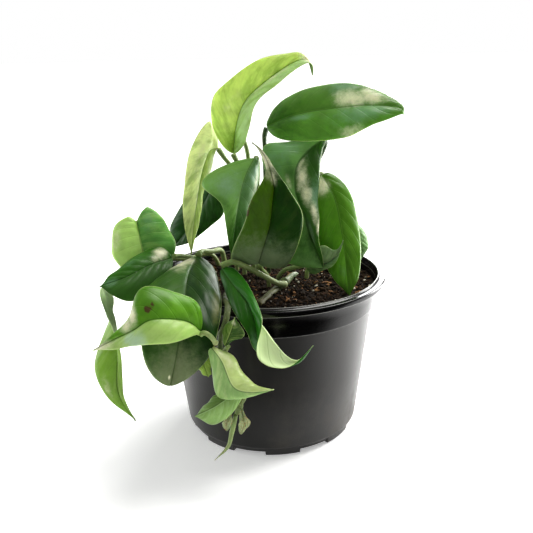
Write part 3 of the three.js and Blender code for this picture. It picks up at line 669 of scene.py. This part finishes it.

# %% [markdown]
# Each leaf has its own greens. `left` and `right` tint its two halves, `vein` its veins, `under` its lower
# face. `pale`, `sheen`, `tinted` and `scars` are lists of soft oval spots: painted cream highlights, a
# painted sheen (the bright room reflected) in `sheen_colour`, the second colour `tint`, and brown dry tissue.
# The
# `tint` is painted shade at the base of crown and high_right, a painted grey sheen near the base of
# front_centre and at the tip of big_left, and a darker green patch on mid_left, mid_right and front_left.
# A spot is (along, across, half-length, half-width, strength); across runs from -1 at the left edge to 1 at
# the right edge.

# %% The leaf colours
LOOKS = {
    "crown": dict(
        slot="light_leaf", left=(202, 227, 116), right=(176, 207, 138), vein=(134, 172, 56), mottle=0.5,
        tint=(112, 152, 40), tinted=[(0.06, 0, 0.16, 0.9, 0.8)],
        pale=[(0.9, 0.1, 0.05, 1.2, 1.0), (0.6, 0.3, 0.22, 0.3, 0.5), (0.35, -0.4, 0.2, 0.3, 0.3)]),
    "high_right": dict(
        slot="green_leaf", left=(87, 129, 48), right=(90, 138, 48), vein=(104, 150, 62), tint=(44, 84, 16),
        tinted=[(0.1, 0, 0.2, 1.2, 0.8)],
        pale=[(0.62, -0.3, 0.12, 0.35, 1.0), (0.75, -0.45, 0.1, 0.4, 1.0), (0.6, 0.9, 0.12, 0.25, 0.6)],
        sheen=[(0.56, -0.75, 0.12, 0.4, 0.9), (0.7, 0.35, 0.24, 0.45, 0.9), (0.27, 0.2, 0.09, 0.14, 0.8)]),
    "tall_left": dict(
        slot="light_leaf", left=(192, 214, 122), right=(230, 245, 168), vein=(134, 168, 72), mottle=0.55,
        pale=[(0.3, 0.5, 0.2, 0.3, 0.4), (0.3, -0.6, 0.2, 0.4, 0.5)]),
    "back_left": dict(
        slot="dark_leaf", left=(38, 82, 18), right=(44, 84, 36), vein=(72, 112, 62),
        sheen=[(0.2, 0.2, 0.1, 0.3, 0.6), (0.8, 0.4, 0.1, 0.4, 0.5)]),
    "mid_left": dict(
        slot="blue_green_leaf", left=(97, 138, 80), right=(122, 166, 84), vein=(116, 156, 96),
        tint=(46, 98, 14), tinted=[(0.82, 0, 0.3, 1.4, 1.0), (0.45, 0.8, 0.1, 0.3, 0.6)],
        pale=[(0.28, -0.75, 0.16, 0.16, 0.6)], sheen_colour=(150, 182, 156),
        sheen=[(0.2, -0.5, 0.14, 0.4, 0.9), (0.3, 0.4, 0.16, 0.5, 0.7)]),
    "front_centre": dict(
        slot="dark_leaf", left=(66, 100, 2), right=(23, 64, 2), vein=(60, 84, 20),
        tint=(126, 142, 108), tinted=[(0.06, 0, 0.2, 2.0, 1.0)],
        pale=[(0.86, 0, 0.16, 1.5, 0.9), (0.7, 0.1, 0.08, 0.4, 0.7)],
        scars=[(0.38, -1.0, 0.035, 0.09, 1.0), (0.46, -0.97, 0.12, 0.1, 0.45)]),
    "mid_right": dict(
        slot="blue_green_leaf", left=(41, 86, 7), right=(107, 151, 80), vein=(80, 116, 60),
        tint=(40, 78, 14),
        tinted=[(0.2, -0.7, 0.12, 0.5, 0.9), (0.8, 0, 0.24, 0.9, 0.8), (0.32, 0.12, 0.1, 0.2, 0.7)],
        pale=[(0.26, -0.12, 0.1, 0.14, 0.6), (0.35, -0.25, 0.12, 0.22, 0.8), (0.45, -0.42, 0.11, 0.28, 0.8),
              (0.57, -0.7, 0.1, 0.25, 0.8), (0.67, -0.95, 0.07, 0.15, 0.8), (0.4, 0.16, 0.06, 0.1, 0.5)],
        sheen=[(0.46, -0.8, 0.12, 0.3, 1.0), (0.2, 0.6, 0.2, 0.5, 0.7)]),
    "low_right": dict(
        slot="green_leaf", left=(112, 138, 92), right=(96, 128, 72), vein=(150, 172, 124),
        sheen=[(0.6, 0.3, 0.3, 0.5, 0.5)]),
    "right": dict(
        slot="green_leaf", left=(76, 121, 20), right=(79, 129, 20), vein=(104, 152, 50),
        pale=[(0.08, 0.4, 0.09, 0.5, 1.0)], sheen=[(0.75, 0.3, 0.15, 0.4, 0.35)]),
    "far_right": dict(slot="green_leaf", left=(98, 138, 72), right=(90, 128, 66), vein=(120, 156, 98)),
    "back_left_heart": dict(
        slot="green_leaf", left=(98, 154, 73), right=(168, 201, 114), vein=(170, 200, 112),
        pale=[(0.4, 0.85, 0.2, 0.2, 0.5)], sheen=[(0.2, -0.5, 0.16, 0.4, 0.6)]),
    "left_dark": dict(
        slot="dark_leaf", left=(56, 96, 33), right=(50, 102, 12), vein=(64, 112, 36),
        pale=[(0.12, 0.45, 0.1, 0.4, 1.0), (0.22, 0.2, 0.07, 0.2, 0.6)],
        sheen=[(0.86, 0.1, 0.12, 0.8, 0.8), (0.45, 0.7, 0.15, 0.3, 0.5)]),
    "big_left": dict(
        slot="green_leaf", left=(22, 60, 3), right=(48, 90, 12), vein=(58, 98, 24),
        tint=(120, 132, 94), tinted=[(0.95, 0, 0.22, 2.0, 1.0)],
        pale=[(0.1, 0.45, 0.09, 0.45, 1.0), (0.2, 0.25, 0.08, 0.25, 0.5), (0.94, 0.25, 0.015, 0.08, 1.0)],
        sheen=[(0.42, -0.85, 0.12, 0.14, 0.8)], sheen_colour=(140, 140, 84)),
    "front_left": dict(
        slot="light_leaf", left=(163, 191, 111), right=(94, 148, 28), vein=(128, 172, 70), tint=(78, 124, 32),
        tinted=[(0.42, 0.6, 0.12, 0.7, 1.0)],
        pale=[(0.95, 0, 0.16, 1.5, 0.9), (0.57, 0.7, 0.05, 0.6, 1.0), (0.64, 0.6, 0.06, 0.6, 0.9)],
        sheen=[(0.56, -0.9, 0.09, 0.7, 1.0), (0.62, -0.5, 0.07, 0.5, 0.9)], sheen_colour=(176, 198, 186),
        scars=[(0.45, 0.3, 0.022, 0.1, 1.0), (0.42, 0.4, 0.014, 0.07, 0.9)]),
    "left_twisted": dict(
        slot="light_leaf", left=(132, 168, 74), right=(124, 164, 56), vein=(160, 188, 104),
        under=(172, 192, 150), pale=[(0.7, 0.6, 0.1, 0.3, 0.5)]),
    "front_pale": dict(
        slot="light_leaf", left=(180, 198, 126), right=(138, 172, 104), vein=(206, 220, 160),
        pale=[(0.2, -0.4, 0.2, 0.4, 0.6)]),
    "front_low": dict(slot="green_leaf", left=(127, 159, 88), right=(118, 150, 78), vein=(164, 194, 134)),
    "front_dark": dict(
        slot="dark_leaf", left=(31, 103, 1), right=(33, 89, 1), vein=(50, 100, 14), under=(192, 210, 160),
        sheen=[(0.1, 0.8, 0.1, 0.4, 0.8), (0.62, 0.7, 0.1, 0.4, 0.7)]),
    "front_small": dict(
        slot="green_leaf", left=(84, 119, 40), right=(66, 99, 42), vein=(170, 190, 110),
        pale=[(0.85, -0.2, 0.12, 0.5, 0.9)]),
    "low_yellow": dict(slot="light_leaf", left=(138, 168, 70), right=(138, 168, 70), vein=(150, 168, 96)),
}
SPOT_KINDS = ("pale", "sheen", "tinted", "scars")


# %% Blade surface
def width_share(t, shoulder, fullness):
    """Half-width along the blade as a share of the whole: t^fullness times (1-t)^taper, scaled to 1 at
    the shoulder, where the product is largest."""
    taper = fullness * (1 - shoulder) / shoulder
    shape = lambda s: s**fullness * (1 - s) ** taper
    return shape(t) / shape(shoulder)


def spot(along, across, patches):
    """The strongest of some soft oval spots at each place: exp(-d^2), d being the distance from the
    spot's middle in units of its half-lengths."""
    total = np.zeros(along.shape)
    for middle, side, long, wide, strength in patches:
        distance = ((along - middle) / long) ** 2 + ((across - side) / wide) ** 2
        total = np.maximum(total, strength * np.exp(-distance))
    return total


BLADE_ROWS = 84
HALF_COLUMNS = 17
COLUMN_CROWDING = 1.5
EDGE_WAVES = 2.4
VEINS = 8
VEIN_SLANT = 1.7
QUILT = 0.16 * MM
PUCKER = 0.9 * MM
PUCKER_CELL = 8 * MM
MIDRIB_GROOVE = 0.22 * MM
MIDRIB_RIDGE = 0.55 * MM
BLADE_THICKNESS = 0.45 * MM
BLADE_END_HALF = 0.55 * MM
MIDRIB_HALF = 0.9 * MM


def blade_rings(spine, left, right, shoulder=0.3, fullness=0.5, bow=0.25, wave=0.7, seed=1):
    """The blade as flat rings: over the upper face from left to right and back along the lower face.
    Middle surface = midrib + outward * reach * share + arch, where arch is 2 * bow * outward *
    (1 - outward) * reach along the half's own up direction. Added to it are a slow wave of the edge,
    random puckers, shallow quilting between the side veins, a groove over the midrib and a rib below it.
    offset is the distance from the midrib in millimetres, negative on the left."""
    t = 0.5 - 0.5 * np.cos(np.pi * np.linspace(0, 1, BLADE_ROWS))
    middle, forward, length = evenly_along(np.array(spine) * MM, t)
    share = width_share(t, shoulder, fullness)[:, None]
    station = np.clip((t - REACH_FIRST) / (REACH_LAST - REACH_FIRST), 0, 1)
    outward = (np.linspace(0, 1, HALF_COLUMNS + 1) ** COLUMN_CROWDING)[None, :, None]
    halves = []
    for side, reaches in ((-1, left), (1, right)):
        reach = catmull_rom(np.array(reaches) * MM, station) * share
        size = np.maximum(np.linalg.norm(reach, axis=1, keepdims=True), BLADE_END_HALF)
        reach = unit(reach) * size
        up = unit(np.cross(reach, forward)) * side
        arch = 2 * bow * outward * (1 - outward) * size[:, None]
        fall = np.sin(np.pi * t)[:, None, None] * outward**2
        edge = wave * MM * np.sin(2 * np.pi * (EDGE_WAVES * t + 0.3 * side))[:, None, None] * fall
        slant = VEINS * t[:, None, None] - VEIN_SLANT * outward
        settled = np.minimum(share / 0.5, 1)[:, None]
        quilt = QUILT * np.cos(2 * np.pi * slant) * np.sin(np.pi * outward) * settled
        pucker = value_noise(t[:, None] * length, side * outward[..., 0] * size, PUCKER_CELL, seed) - 0.5
        pucker = PUCKER * pucker[..., None] * np.sin(np.pi * outward * 0.6) * settled
        half = middle[:, None] + reach[:, None] * outward + up[:, None] * (arch + edge + pucker - quilt)
        halves.append(half if side > 0 else half[:, ::-1])
    sheet = np.concatenate([halves[0], halves[1][:, 1:]], axis=1)
    across = np.concatenate([-outward[0, ::-1, 0], outward[0, 1:, 0]])
    normal = unit(np.cross(np.gradient(sheet, axis=1), np.gradient(sheet, axis=0)))
    width = np.linalg.norm(sheet - middle[:, None], axis=-1, keepdims=True)
    offset = width[..., 0] * np.sign(across) / MM
    rib = np.exp(-((width / MIDRIB_HALF) ** 2)) * (1 - t)[:, None, None] ** 0.5
    thickness = BLADE_THICKNESS * np.where(np.abs(across) > 0.999, 0.35, 1)[None, :, None]
    upper = sheet + normal * (thickness / 2 - MIDRIB_GROOVE * rib)
    lower = sheet - normal * (thickness / 2 + MIDRIB_RIDGE * rib)
    rings = np.concatenate([upper, lower[:, ::-1]], axis=1) + AXIS
    around = np.concatenate([across, across[::-1]])
    below = np.concatenate([np.zeros(across.size), np.ones(across.size)])
    grid = np.ones((BLADE_ROWS, 1))
    fields = {"along": t[:, None] * np.ones(around.size), "across": grid * around, "below": grid * below,
              "offset": np.concatenate([offset, offset[:, ::-1]], axis=1)}
    return rings, fields, length


# %% [markdown]
# ## Leaf finish
# One shader group paints every leaf: it reads how far along and across the blade a point is, draws the
# midrib, slanted side veins and a fine pale margin, and feathers the green between the veins. Each leaf
# places the group with its own colours. The wax is the Principled shader's own gloss, with a
# little light passing through the tissue.

# %% Leaf tissue group
RIB_HALF_MM = 0.38
SIDE_VEIN_HALF = 0.07
FINE_VEINS = 4.0
LEAF_RELIEF = 0.25 * MM
MARGIN = linear(186, 200, 140)
# Cream of the painted highlights (glare) that the pale spots put on the leaves.
PAINTED_GLARE = linear(228, 226, 196)
SCAR = linear(78, 64, 34)


def leaf_tissue_group():
    """Colour, roughness and relief of a leaf from its along, across, below, patch and scar numbers."""
    labels = ("Left", "Right", "Vein", "Under", "Tint", "Scar", "Margin", "Pale", "Sheen")
    colours = dict.fromkeys(labels, linear(90, 140, 50))
    numbers = {"Veins": float(VEINS), "Vein Strength": 0.08, "Mottle": 0.3}
    outputs = {"Color": "Color", "Roughness": "Float", "Height": "Float"}
    tree, source, result = new_group("leaf_tissue", {**colours, **numbers}, outputs)
    along, across, below = (attribute(tree, name) for name in ("along", "across", "below"))
    out = math_node(tree, "ABSOLUTE", across)
    slant = times_plus(tree, along, source["Veins"], times(tree, out, -VEIN_SLANT))
    phase = math_node(tree, "FRACT", slant)
    from_vein = math_node(tree, "MINIMUM", phase, math_node(tree, "SUBTRACT", 1.0, phase))
    side_vein = fade(tree, from_vein, SIDE_VEIN_HALF)
    fine_phase = math_node(tree, "FRACT", times(tree, slant, FINE_VEINS))
    fine_vein = fade(tree, fine_phase, 0.3)
    streak_place = add(tree, "CombineXYZ", X=slant, Y=times(tree, out, 0.7), Z=across)
    streaks = noise(tree, streak_place.outputs[0], 1.6, 5, 0.6)
    place = add(tree, "TexCoord").outputs["Object"]
    clouds = noise(tree, place, 60, 6, 0.62)
    side = ramp(tree, across, -0.02, 0.02)
    green = blend_colour(tree, side, source["Left"], source["Right"])
    feather = times(tree, ramp(tree, streaks, 0.42, 0.68), source["Mottle"])
    green = blend_colour(tree, feather, green, source["Vein"])
    strength = times(tree, side_vein, source["Vein Strength"])
    strength = times_plus(tree, fine_vein, 0.03, strength)
    green = blend_colour(tree, strength, green, source["Vein"])
    brightness = times_plus(tree, clouds, 0.9, 0.55)
    green = add(tree, "HueSaturation", Color=green, Value=brightness).outputs[0]
    blotch = times_plus(tree, noise(tree, place, 150, 8, 0.75), 1.3, -0.65)
    # Painted light on the blade: tinted spots are painted shade at the base of crown and high_right, a
    # painted grey sheen on front_centre and big_left and a darker green elsewhere. Sheen spots are a painted
    # reflection of the room, and pale spots are painted cream highlights.
    for kind, socket, most in (("tinted", "Tint", 0.9), ("sheen", "Sheen", 0.6), ("pale", "Pale", 0.9)):
        spots = attribute(tree, kind)
        share = times(tree, ramp(tree, math_node(tree, "ADD", spots, blotch), 0.1, 1.05), most)
        share = times(tree, share, ramp(tree, spots, 0.02, 0.4))
        green = blend_colour(tree, share, green, source[socket])
    offset = attribute(tree, "offset")
    shadow = band(tree, offset, RIB_HALF_MM, RIB_HALF_MM * 1.5)
    shaded = add(tree, "HueSaturation", Color=green, Value=0.45).outputs[0]
    green = blend_colour(tree, times(tree, shadow, 0.8), green, shaded)
    midrib = band(tree, offset, RIB_HALF_MM * -0.6, RIB_HALF_MM * 1.3)
    green = blend_colour(tree, times(tree, midrib, 0.6), green, source["Vein"])
    underside = blend_colour(tree, times(tree, side_vein, 0.25), source["Under"], green)
    colour = blend_colour(tree, below, green, underside)
    margin = times(tree, ramp(tree, out, 0.975, 0.998), 0.7)
    colour = blend_colour(tree, margin, colour, source["Margin"])
    ragged = times_plus(tree, noise(tree, place, 400, 4), 0.9, -0.45)
    scar = ramp(tree, math_node(tree, "ADD", attribute(tree, "scars"), ragged), 0.25, 0.6)
    colour = blend_colour(tree, scar, colour, source["Scar"])
    rough = times_plus(tree, noise(tree, place, 140, 4), 0.22, 0.26)
    rough = times_plus(tree, below, 0.22, rough)
    height = times_plus(tree, side_vein, -0.35, times(tree, streaks, 0.7))
    height = times_plus(tree, noise(tree, place, 180, 4), 0.5, height)
    tree.links.new(colour, result["Color"])
    tree.links.new(rough, result["Roughness"])
    tree.links.new(height, result["Height"])
    return tree


leaf_tissue = leaf_tissue_group()


def leaf_material(name, left, right, vein, under=(104, 132, 74), tint=(60, 100, 30), mottle=0.3,
                  sheen_colour=(122, 158, 128)):
    """One leaf's material: the shared tissue with this leaf's colours."""
    material, tree, shader = new_material(
        "leaf_" + name, Specular_IOR_Level=0.27, Coat_Weight=0.08,
        Coat_Roughness=0.22, Subsurface_Weight=0.1, Subsurface_Scale=0.0015)
    shader.inputs["Subsurface Radius"].default_value = (0.6, 1.0, 0.2)
    tissue = use_group(
        tree, leaf_tissue, Left=linear(*left), Right=linear(*right), Vein=linear(*vein), Under=linear(*under),
        Tint=linear(*tint), Scar=SCAR, Margin=MARGIN, Pale=PAINTED_GLARE, Sheen=linear(*sheen_colour), Mottle=mottle)
    tree.links.new(tissue["Color"], shader.inputs["Base Color"])
    tree.links.new(tissue["Roughness"], shader.inputs["Roughness"])
    raise_surface(tree, shader, tissue["Height"], LEAF_RELIEF)
    return material


# %% Make the leaves
for name, leaf in LEAVES.items():
    look = dict(LOOKS[name])
    slot = look.pop("slot")
    rings, fields, length = blade_rings(**leaf, seed=len(name) + 3)
    for kind in SPOT_KINDS:
        fields[kind] = spot(fields["along"], fields["across"], look.pop(kind, []))
    mesh = ring_mesh("blade_" + name, rings, fields)
    add_piece("blade_" + name, mesh, leaf_material(name, **look), slot, "leaf_" + name)
    low, high = (np.array(corner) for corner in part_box("leaf_" + name))
    misfit = max(np.abs(rings.min((0, 1)) - low).max(), np.abs(rings.max((0, 1)) - high).max())
    print(f"{name}: {length * 1000:.0f} mm long, within {misfit * 1000:.1f} mm of its CAD box")

# %% [markdown]
# ## Stalks and vines
# A leaf stalk is a smooth rod with a shallow groove on its upper side. It thickens where it leaves the
# vine and has a small knee under the blade. A curve with a bevel would give only a round rod, so the ring
# is worked out here too, and carried along the same route as in the CAD part.

# %% Rod surface
GROOVE_HALF_ANGLE = 0.6


def carried_frame(forward):
    """Two unit vectors square to the path at each place. The first one is the direction to the back
    made square to the path, which keeps the rod from twisting."""
    guide = np.array((0.25, 1.0, 0.1))
    across = unit(guide - forward * (forward @ guide)[:, None])
    return across, np.cross(forward, across)


def rod_rings(points, radius, swell=(), groove=0.18, sides=20, rows_per_mm=0.7):
    """A rod along the points. Its radius is radius * (1 + the sum of swellings), each swelling
    (where, half-length, size) being size * exp(-((t - where) / half-length)^2), and less by groove
    on the side that faces the back."""
    _, _, length = evenly_along(np.array(points) * MM, [0, 1])
    rows = max(12, int(length / MM * rows_per_mm))
    t = np.linspace(0, 1, rows)
    middle, forward, _ = evenly_along(np.array(points) * MM, t)
    across, up = carried_frame(forward)
    angle = np.linspace(0, 2 * math.pi, sides, endpoint=False)
    size = np.ones(rows)
    for where, half, amount in swell:
        size += amount * np.exp(-(((t - where) / half) ** 2))
    from_back = np.minimum(angle, 2 * math.pi - angle)
    notch = 1 - groove * np.exp(-((from_back / GROOVE_HALF_ANGLE) ** 2))
    reach = (radius * MM * size[:, None] * notch[None])[..., None]
    circle = np.stack([np.cos(angle), np.sin(angle)])[..., None]
    ring = reach * (circle[0] * across[:, None] + circle[1] * up[:, None])
    fields = {"along": t[:, None] * np.ones(sides), "around": np.ones((rows, 1)) * angle / (2 * math.pi)}
    return middle[:, None] + ring + AXIS, fields, length


def add_rod(name, node, finish, slot, points, radius, swell, **shape):
    """Makes a rod, puts it in the scene for its CAD node and gives back its length."""
    rings, fields, length = rod_rings(points, radius, swell, **shape)
    add_piece(name, ring_mesh(name, rings, fields), finish, slot, node)
    return length


# %% Stalk and vine finishes
def stalk_material(name, colour, tip, speckle=0.3, roughness=0.42):
    """A green rod whose colour runs from its blade end to its foot, with fine lengthwise streaks."""
    material, tree, shader = new_material(
        name, Roughness=roughness, Subsurface_Weight=0.1, Subsurface_Scale=0.002)
    along, around = attribute(tree, "along"), attribute(tree, "around")
    place = add(tree, "TexCoord").outputs["Object"]
    lines = add(tree, "CombineXYZ", X=times(tree, along, 2.0),
                Y=times(tree, math_node(tree, "PINGPONG", around, 0.5), 14.0))
    streaks = noise(tree, lines.outputs[0], 3.0, 4)
    spots = ramp(tree, noise(tree, place, 900, 2), 0.6, 0.7)
    green = blend_colour(tree, along, tip, colour)
    dark_lines = times(tree, ramp(tree, streaks, 0.4, 0.7), 0.35)
    green = blend_colour(tree, dark_lines, green, linear(60, 74, 34))
    green = blend_colour(tree, times(tree, spots, speckle), green, linear(186, 196, 140))
    tree.links.new(green, shader.inputs["Base Color"])
    raise_surface(tree, shader, streaks, 0.2 * MM)
    return material


green_stalk = stalk_material("green_stalk", linear(158, 172, 118), linear(136, 160, 92))
dark_stalk = stalk_material("dark_stalk", linear(66, 84, 46), linear(60, 86, 50))
vine_skin = stalk_material("vine_skin", linear(48, 50, 18), linear(124, 142, 84), 0.3, 0.5)
stump_skin = stalk_material("stump_skin", linear(106, 100, 58), linear(104, 124, 84), 0.3, 0.5)

# %% Stalks that stand in the soil, from the blade down
SOIL_STALKS = {
    "crown": [(-23, 6, 198), (-20, 9, 189), (-18, 10, 165), (-18, 12, 107)],
    "bare": [(-19, 13, 216), (-16, 14, 208), (-13, 16, 195), (-12, 18, 163), (-11, 22, 107)],
    "high_right": [(0.5, 13, 215), (-1, 14, 209), (-1, 13, 200), (-1, 12, 171), (0, 14, 107)],
    "tall_left": [(-33.5, 12, 201), (-30, 14, 195), (-24, 16, 184), (-24, 18, 160), (-24, 22, 107)],
    "back_left": [(-38, 29, 175), (-32, 31, 174), (-28, 31, 160), (-28, 34, 107)],
    "mid_left": [(-7, -4, 197), (-6, 3, 190), (-7, 5, 165), (-8, 6, 107)],
    "front_centre": [(-6, -34.5, 130), (-5, -30, 125), (-1, -25, 118), (0, -23, 107)],
    "mid_right": [(38, -1, 207), (40.5, 2, 206), (40, 5, 201), (33, 10, 182), (24, 14, 140),
                  (16, 14, 107)],
    "low_right": [(25, -29, 127.5), (22, -22, 124), (12, -12, 119), (7, -6, 112), (6, -5, 107)],
    "right": [(38, -4, 184.5), (36, 2, 180), (33, 5, 153), (27, 0, 107)],
    "far_right": [(56, 24, 146), (50, 23, 136), (36, 22, 107)],
    "back_left_heart": [(-93, 4, 152), (-89, 12, 144), (-78, 18, 126), (-60, 24, 119), (-44, 31, 119),
                        (-38, 36, 107)],
    "left_dark": [(-66, -17, 132), (-60, -7, 129), (-50, 4, 122), (-42, 8, 107)],
    "big_left": [(-49.5, -11, 131), (-47, -2, 131), (-42, 14, 126), (-36, 24, 124), (-34, 27, 117),
                 (-34, 27, 107)],
    "left_twisted": [(-113, -28, 115), (-106, -12, 118), (-88, 4, 122), (-60, 14, 120), (-46, 19, 107)],
}
FOOT_DEPTH = 5
STALK_RADIUS = 1.5
THICK_STALK_RADIUS = 1.9
DARK_STALKS = ("high_right", "mid_right", "back_left")
KNEE_AND_FOOT = ((0.02, 0.04, 0.25), (1.0, 0.12, 0.2))

for name, route in SOIL_STALKS.items():
    x, y, z = route[-1]
    radius = THICK_STALK_RADIUS if name == "big_left" else STALK_RADIUS
    finish = dark_stalk if name in DARK_STALKS else green_stalk
    add_rod("petiole_" + name, "stalk_" + name, finish, "green_stalk", [*route, (x, y, z - FOOT_DEPTH)],
            radius, KNEE_AND_FOOT)
print(len(SOIL_STALKS), "stalks stand in the soil")

# %% Stalks that leave a vine
VINE_STALKS = {
    "front_dark": [(-31, -45, 132.5), (-28, -45, 134), (-23, -44.5, 135), (-15, -43, 131), (-5, -39, 124),
                   (5, -31, 115.5), (11, -26, 112.5)],
    "front_left": [(-41.4, -98, 107), (-39, -99.5, 108.5), (-35.5, -99.5, 106), (-33, -96.5, 100.5)],
    "front_small": [(-26, -93, 97), (-27, -92, 95), (-28, -92, 93)],
}
KNEE_AND_BASE = ((0.02, 0.08, 0.15), (1.0, 0.1, 0.3))
for name, route in VINE_STALKS.items():
    radius = THICK_STALK_RADIUS if name == "front_dark" else STALK_RADIUS
    add_rod("petiole_" + name, "stalk_" + name, green_stalk, "green_stalk", route, radius, KNEE_AND_BASE)
print(len(VINE_STALKS), "stalks leave a vine")

# %% The long vine over the rim, the stump in the soil and the rolled new leaf
TRAILING_VINE = [
    (-22, -92, 51), (-20, -93, 58), (-18, -93, 64), (-25, -88, 74), (-31, -85.5, 88), (-30.5, -86, 100),
    (-27, -87, 111), (-26, -79, 117.5), (-28, -66, 116), (-30, -46, 110), (-30, -28, 107), (-30, -28, 102),
]
STUMP = [(22, 8, 106), (18, 2, 110), (11, -15, 110.5), (2, -34, 110), (-8, -54, 108)]
STUMP_RADIUS = 2.5
NEW_SHOOT = [(-23, -92, 50), (-26, -91, 37), (-29, -90, 26), (-38, -88, 15)]

VINE_RADIUS = 1.9
SHOOT_RADIUS = 1.35
VINE_JOINTS = [(where, 0.012, 0.28) for where in (0.04, 0.13, 0.34, 0.42, 0.66, 0.85)]
STUMP_JOINTS = ((0.4, 0.02, 0.45), (0.36, 0.05, 0.2), (0.97, 0.05, 0.35))
SHOOT_TAPER = ((0.25, 0.2, 0.25), (1.0, 0.28, -0.85))

length = add_rod("vine_over_rim", "vine_trailing", vine_skin, "vine_bark", TRAILING_VINE, VINE_RADIUS,
                 VINE_JOINTS, groove=0.06, rows_per_mm=1.4)
print("trailing vine", round(length * 1000), "mm long")
add_rod("vine_in_soil", "vine_stump", stump_skin, "vine_bark", STUMP, STUMP_RADIUS, STUMP_JOINTS,
        groove=0.03, rows_per_mm=1.6)
add_rod("rolled_leaf", "new_shoot", green_stalk, "green_stalk", NEW_SHOOT, SHOOT_RADIUS, SHOOT_TAPER,
        groove=0.25)

# %% [markdown]
# ## Papery sheath
# A new pothos leaf slips out of a thin skin, which dries and stays on the vine. It is two small blades
# with lengthwise ribs, in a pale and slightly clear finish.

# %% Sheath pieces
SHEATHS = {
    "right": dict(spine=[(-19, -96, 56), (-18, -97, 47), (-20, -97, 39)],
                  left=[(2, -2, 0), (4, -2, 0), (3, 1, 0)], right=[(-2, -2, 0), (-3, -2, 0), (-3, 1, 0)]),
    "left": dict(spine=[(-26, -92, 53), (-28.5, -93, 46), (-29, -92.5, 39)],
                 left=[(2, -2, 0), (3, -2, 0), (3, 1, 0)], right=[(-2, -2, 0), (-3, -2, 0), (-3, 1, 0)]),
}


def sheath_material():
    """Dry skin: pale straw green with lengthwise ribs, letting a fifth of the light through."""
    material, tree, shader = new_material("papery_sheath", Roughness=0.35, Alpha=0.8, Subsurface_Weight=0.2,
                                          Subsurface_Scale=0.002)
    ribs = math_node(tree, "SINE", times(tree, attribute(tree, "across"), 22.0))
    share = times_plus(tree, ribs, 0.25, 0.5)
    colour = blend_colour(tree, share, linear(150, 168, 104), linear(206, 214, 170))
    tree.links.new(colour, shader.inputs["Base Color"])
    raise_surface(tree, shader, ribs, 0.2 * MM)
    return material


papery = sheath_material()
for name, shape in SHEATHS.items():
    rings, fields, length = blade_rings(**shape, shoulder=0.5, wave=0.6)
    mesh = ring_mesh("skin_" + name, rings, fields)
    add_piece("skin_" + name, mesh, papery, "papery_sheath", "sheath_" + name)

# %% [markdown]
# ## The room
# A wide pale plane that isn't part of the object catches the soft shadow, and a white sky lies behind it.
# The dark part of the room in front of the plant shows only in reflections, which keeps glossy leaves and
# black plastic deep: a ray that has bounced off something shiny finds the sky and the floor dark there.

# %% Sky
SKY_STRENGTH = 0.42
FRONT_SKY_STRENGTH = 0.05
WHITE = (1, 1, 1, 1)
BLACK = (0, 0, 0, 1)

sky = bpy.data.worlds.new("sky")
sky.use_nodes = True
tree = sky.node_tree
ray = add(tree, "LightPath").outputs
toward = add(tree, "TexCoord").outputs["Generated"]
back = add(tree, "SeparateXYZ", Vector=toward).outputs["Y"]
front_dimmed = add(tree, "MapRange", Value=back, From_Min=-0.9, From_Max=0.1, To_Min=FRONT_SKY_STRENGTH,
                   To_Max=SKY_STRENGTH).outputs[0]
strength = add(tree, "Mix", _0=ray["Is Glossy Ray"], _2=SKY_STRENGTH, _3=front_dimmed).outputs[0]
light_sky = add(tree, "Background", Color=WHITE, Strength=strength).outputs[0]
white_sky = add(tree, "Background", Color=WHITE).outputs[0]
seen = add(tree, "MixShader", _0=ray["Is Camera Ray"], _1=light_sky, _2=white_sky).outputs[0]
tree.links.new(seen, tree.nodes["World Output"].inputs["Surface"])
bpy.context.scene.world = sky
print("sky strength", SKY_STRENGTH)

# %% Floor
FLOOR_HALF = 30.0
FLOOR_GLOW = 0.38
FLOOR_BRIGHT_TO = -0.06
FLOOR_DARK_FROM = -0.16

corners = [(x * FLOOR_HALF, y * FLOOR_HALF, 0) for x, y in ((-1, -1), (1, -1), (1, 1), (-1, 1))]
mesh = bpy.data.meshes.new("table_top")
mesh.from_pydata(corners, [], [(0, 1, 2, 3)])
material, tree, shader = new_material("table_top", Roughness=0.6, Base_Color=(0.92, 0.92, 0.92, 1),
                                      Emission_Color=WHITE, Emission_Strength=FLOOR_GLOW)
place = add(tree, "TexCoord").outputs["Object"]
back = add(tree, "SeparateXYZ", Vector=place).outputs["Y"]
mirrored = add(tree, "LightPath").outputs["Is Glossy Ray"]
darkened = times(tree, ramp(tree, back, FLOOR_BRIGHT_TO, FLOOR_DARK_FROM), mirrored)
unlit = add(tree, "BsdfDiffuse", Color=BLACK).outputs[0]
seen = add(tree, "MixShader", _0=darkened, _1=shader.outputs[0], _2=unlit).outputs[0]
tree.links.new(seen, tree.nodes["Material Output"].inputs["Surface"])
mesh.materials.append(material)
floor = bpy.data.objects.new("table_top", mesh)
bpy.context.scene.collection.objects.link(floor)
floor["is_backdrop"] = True
print("floor", 2 * FLOOR_HALF, "m across")

# %% Measure the scene's size
low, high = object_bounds()
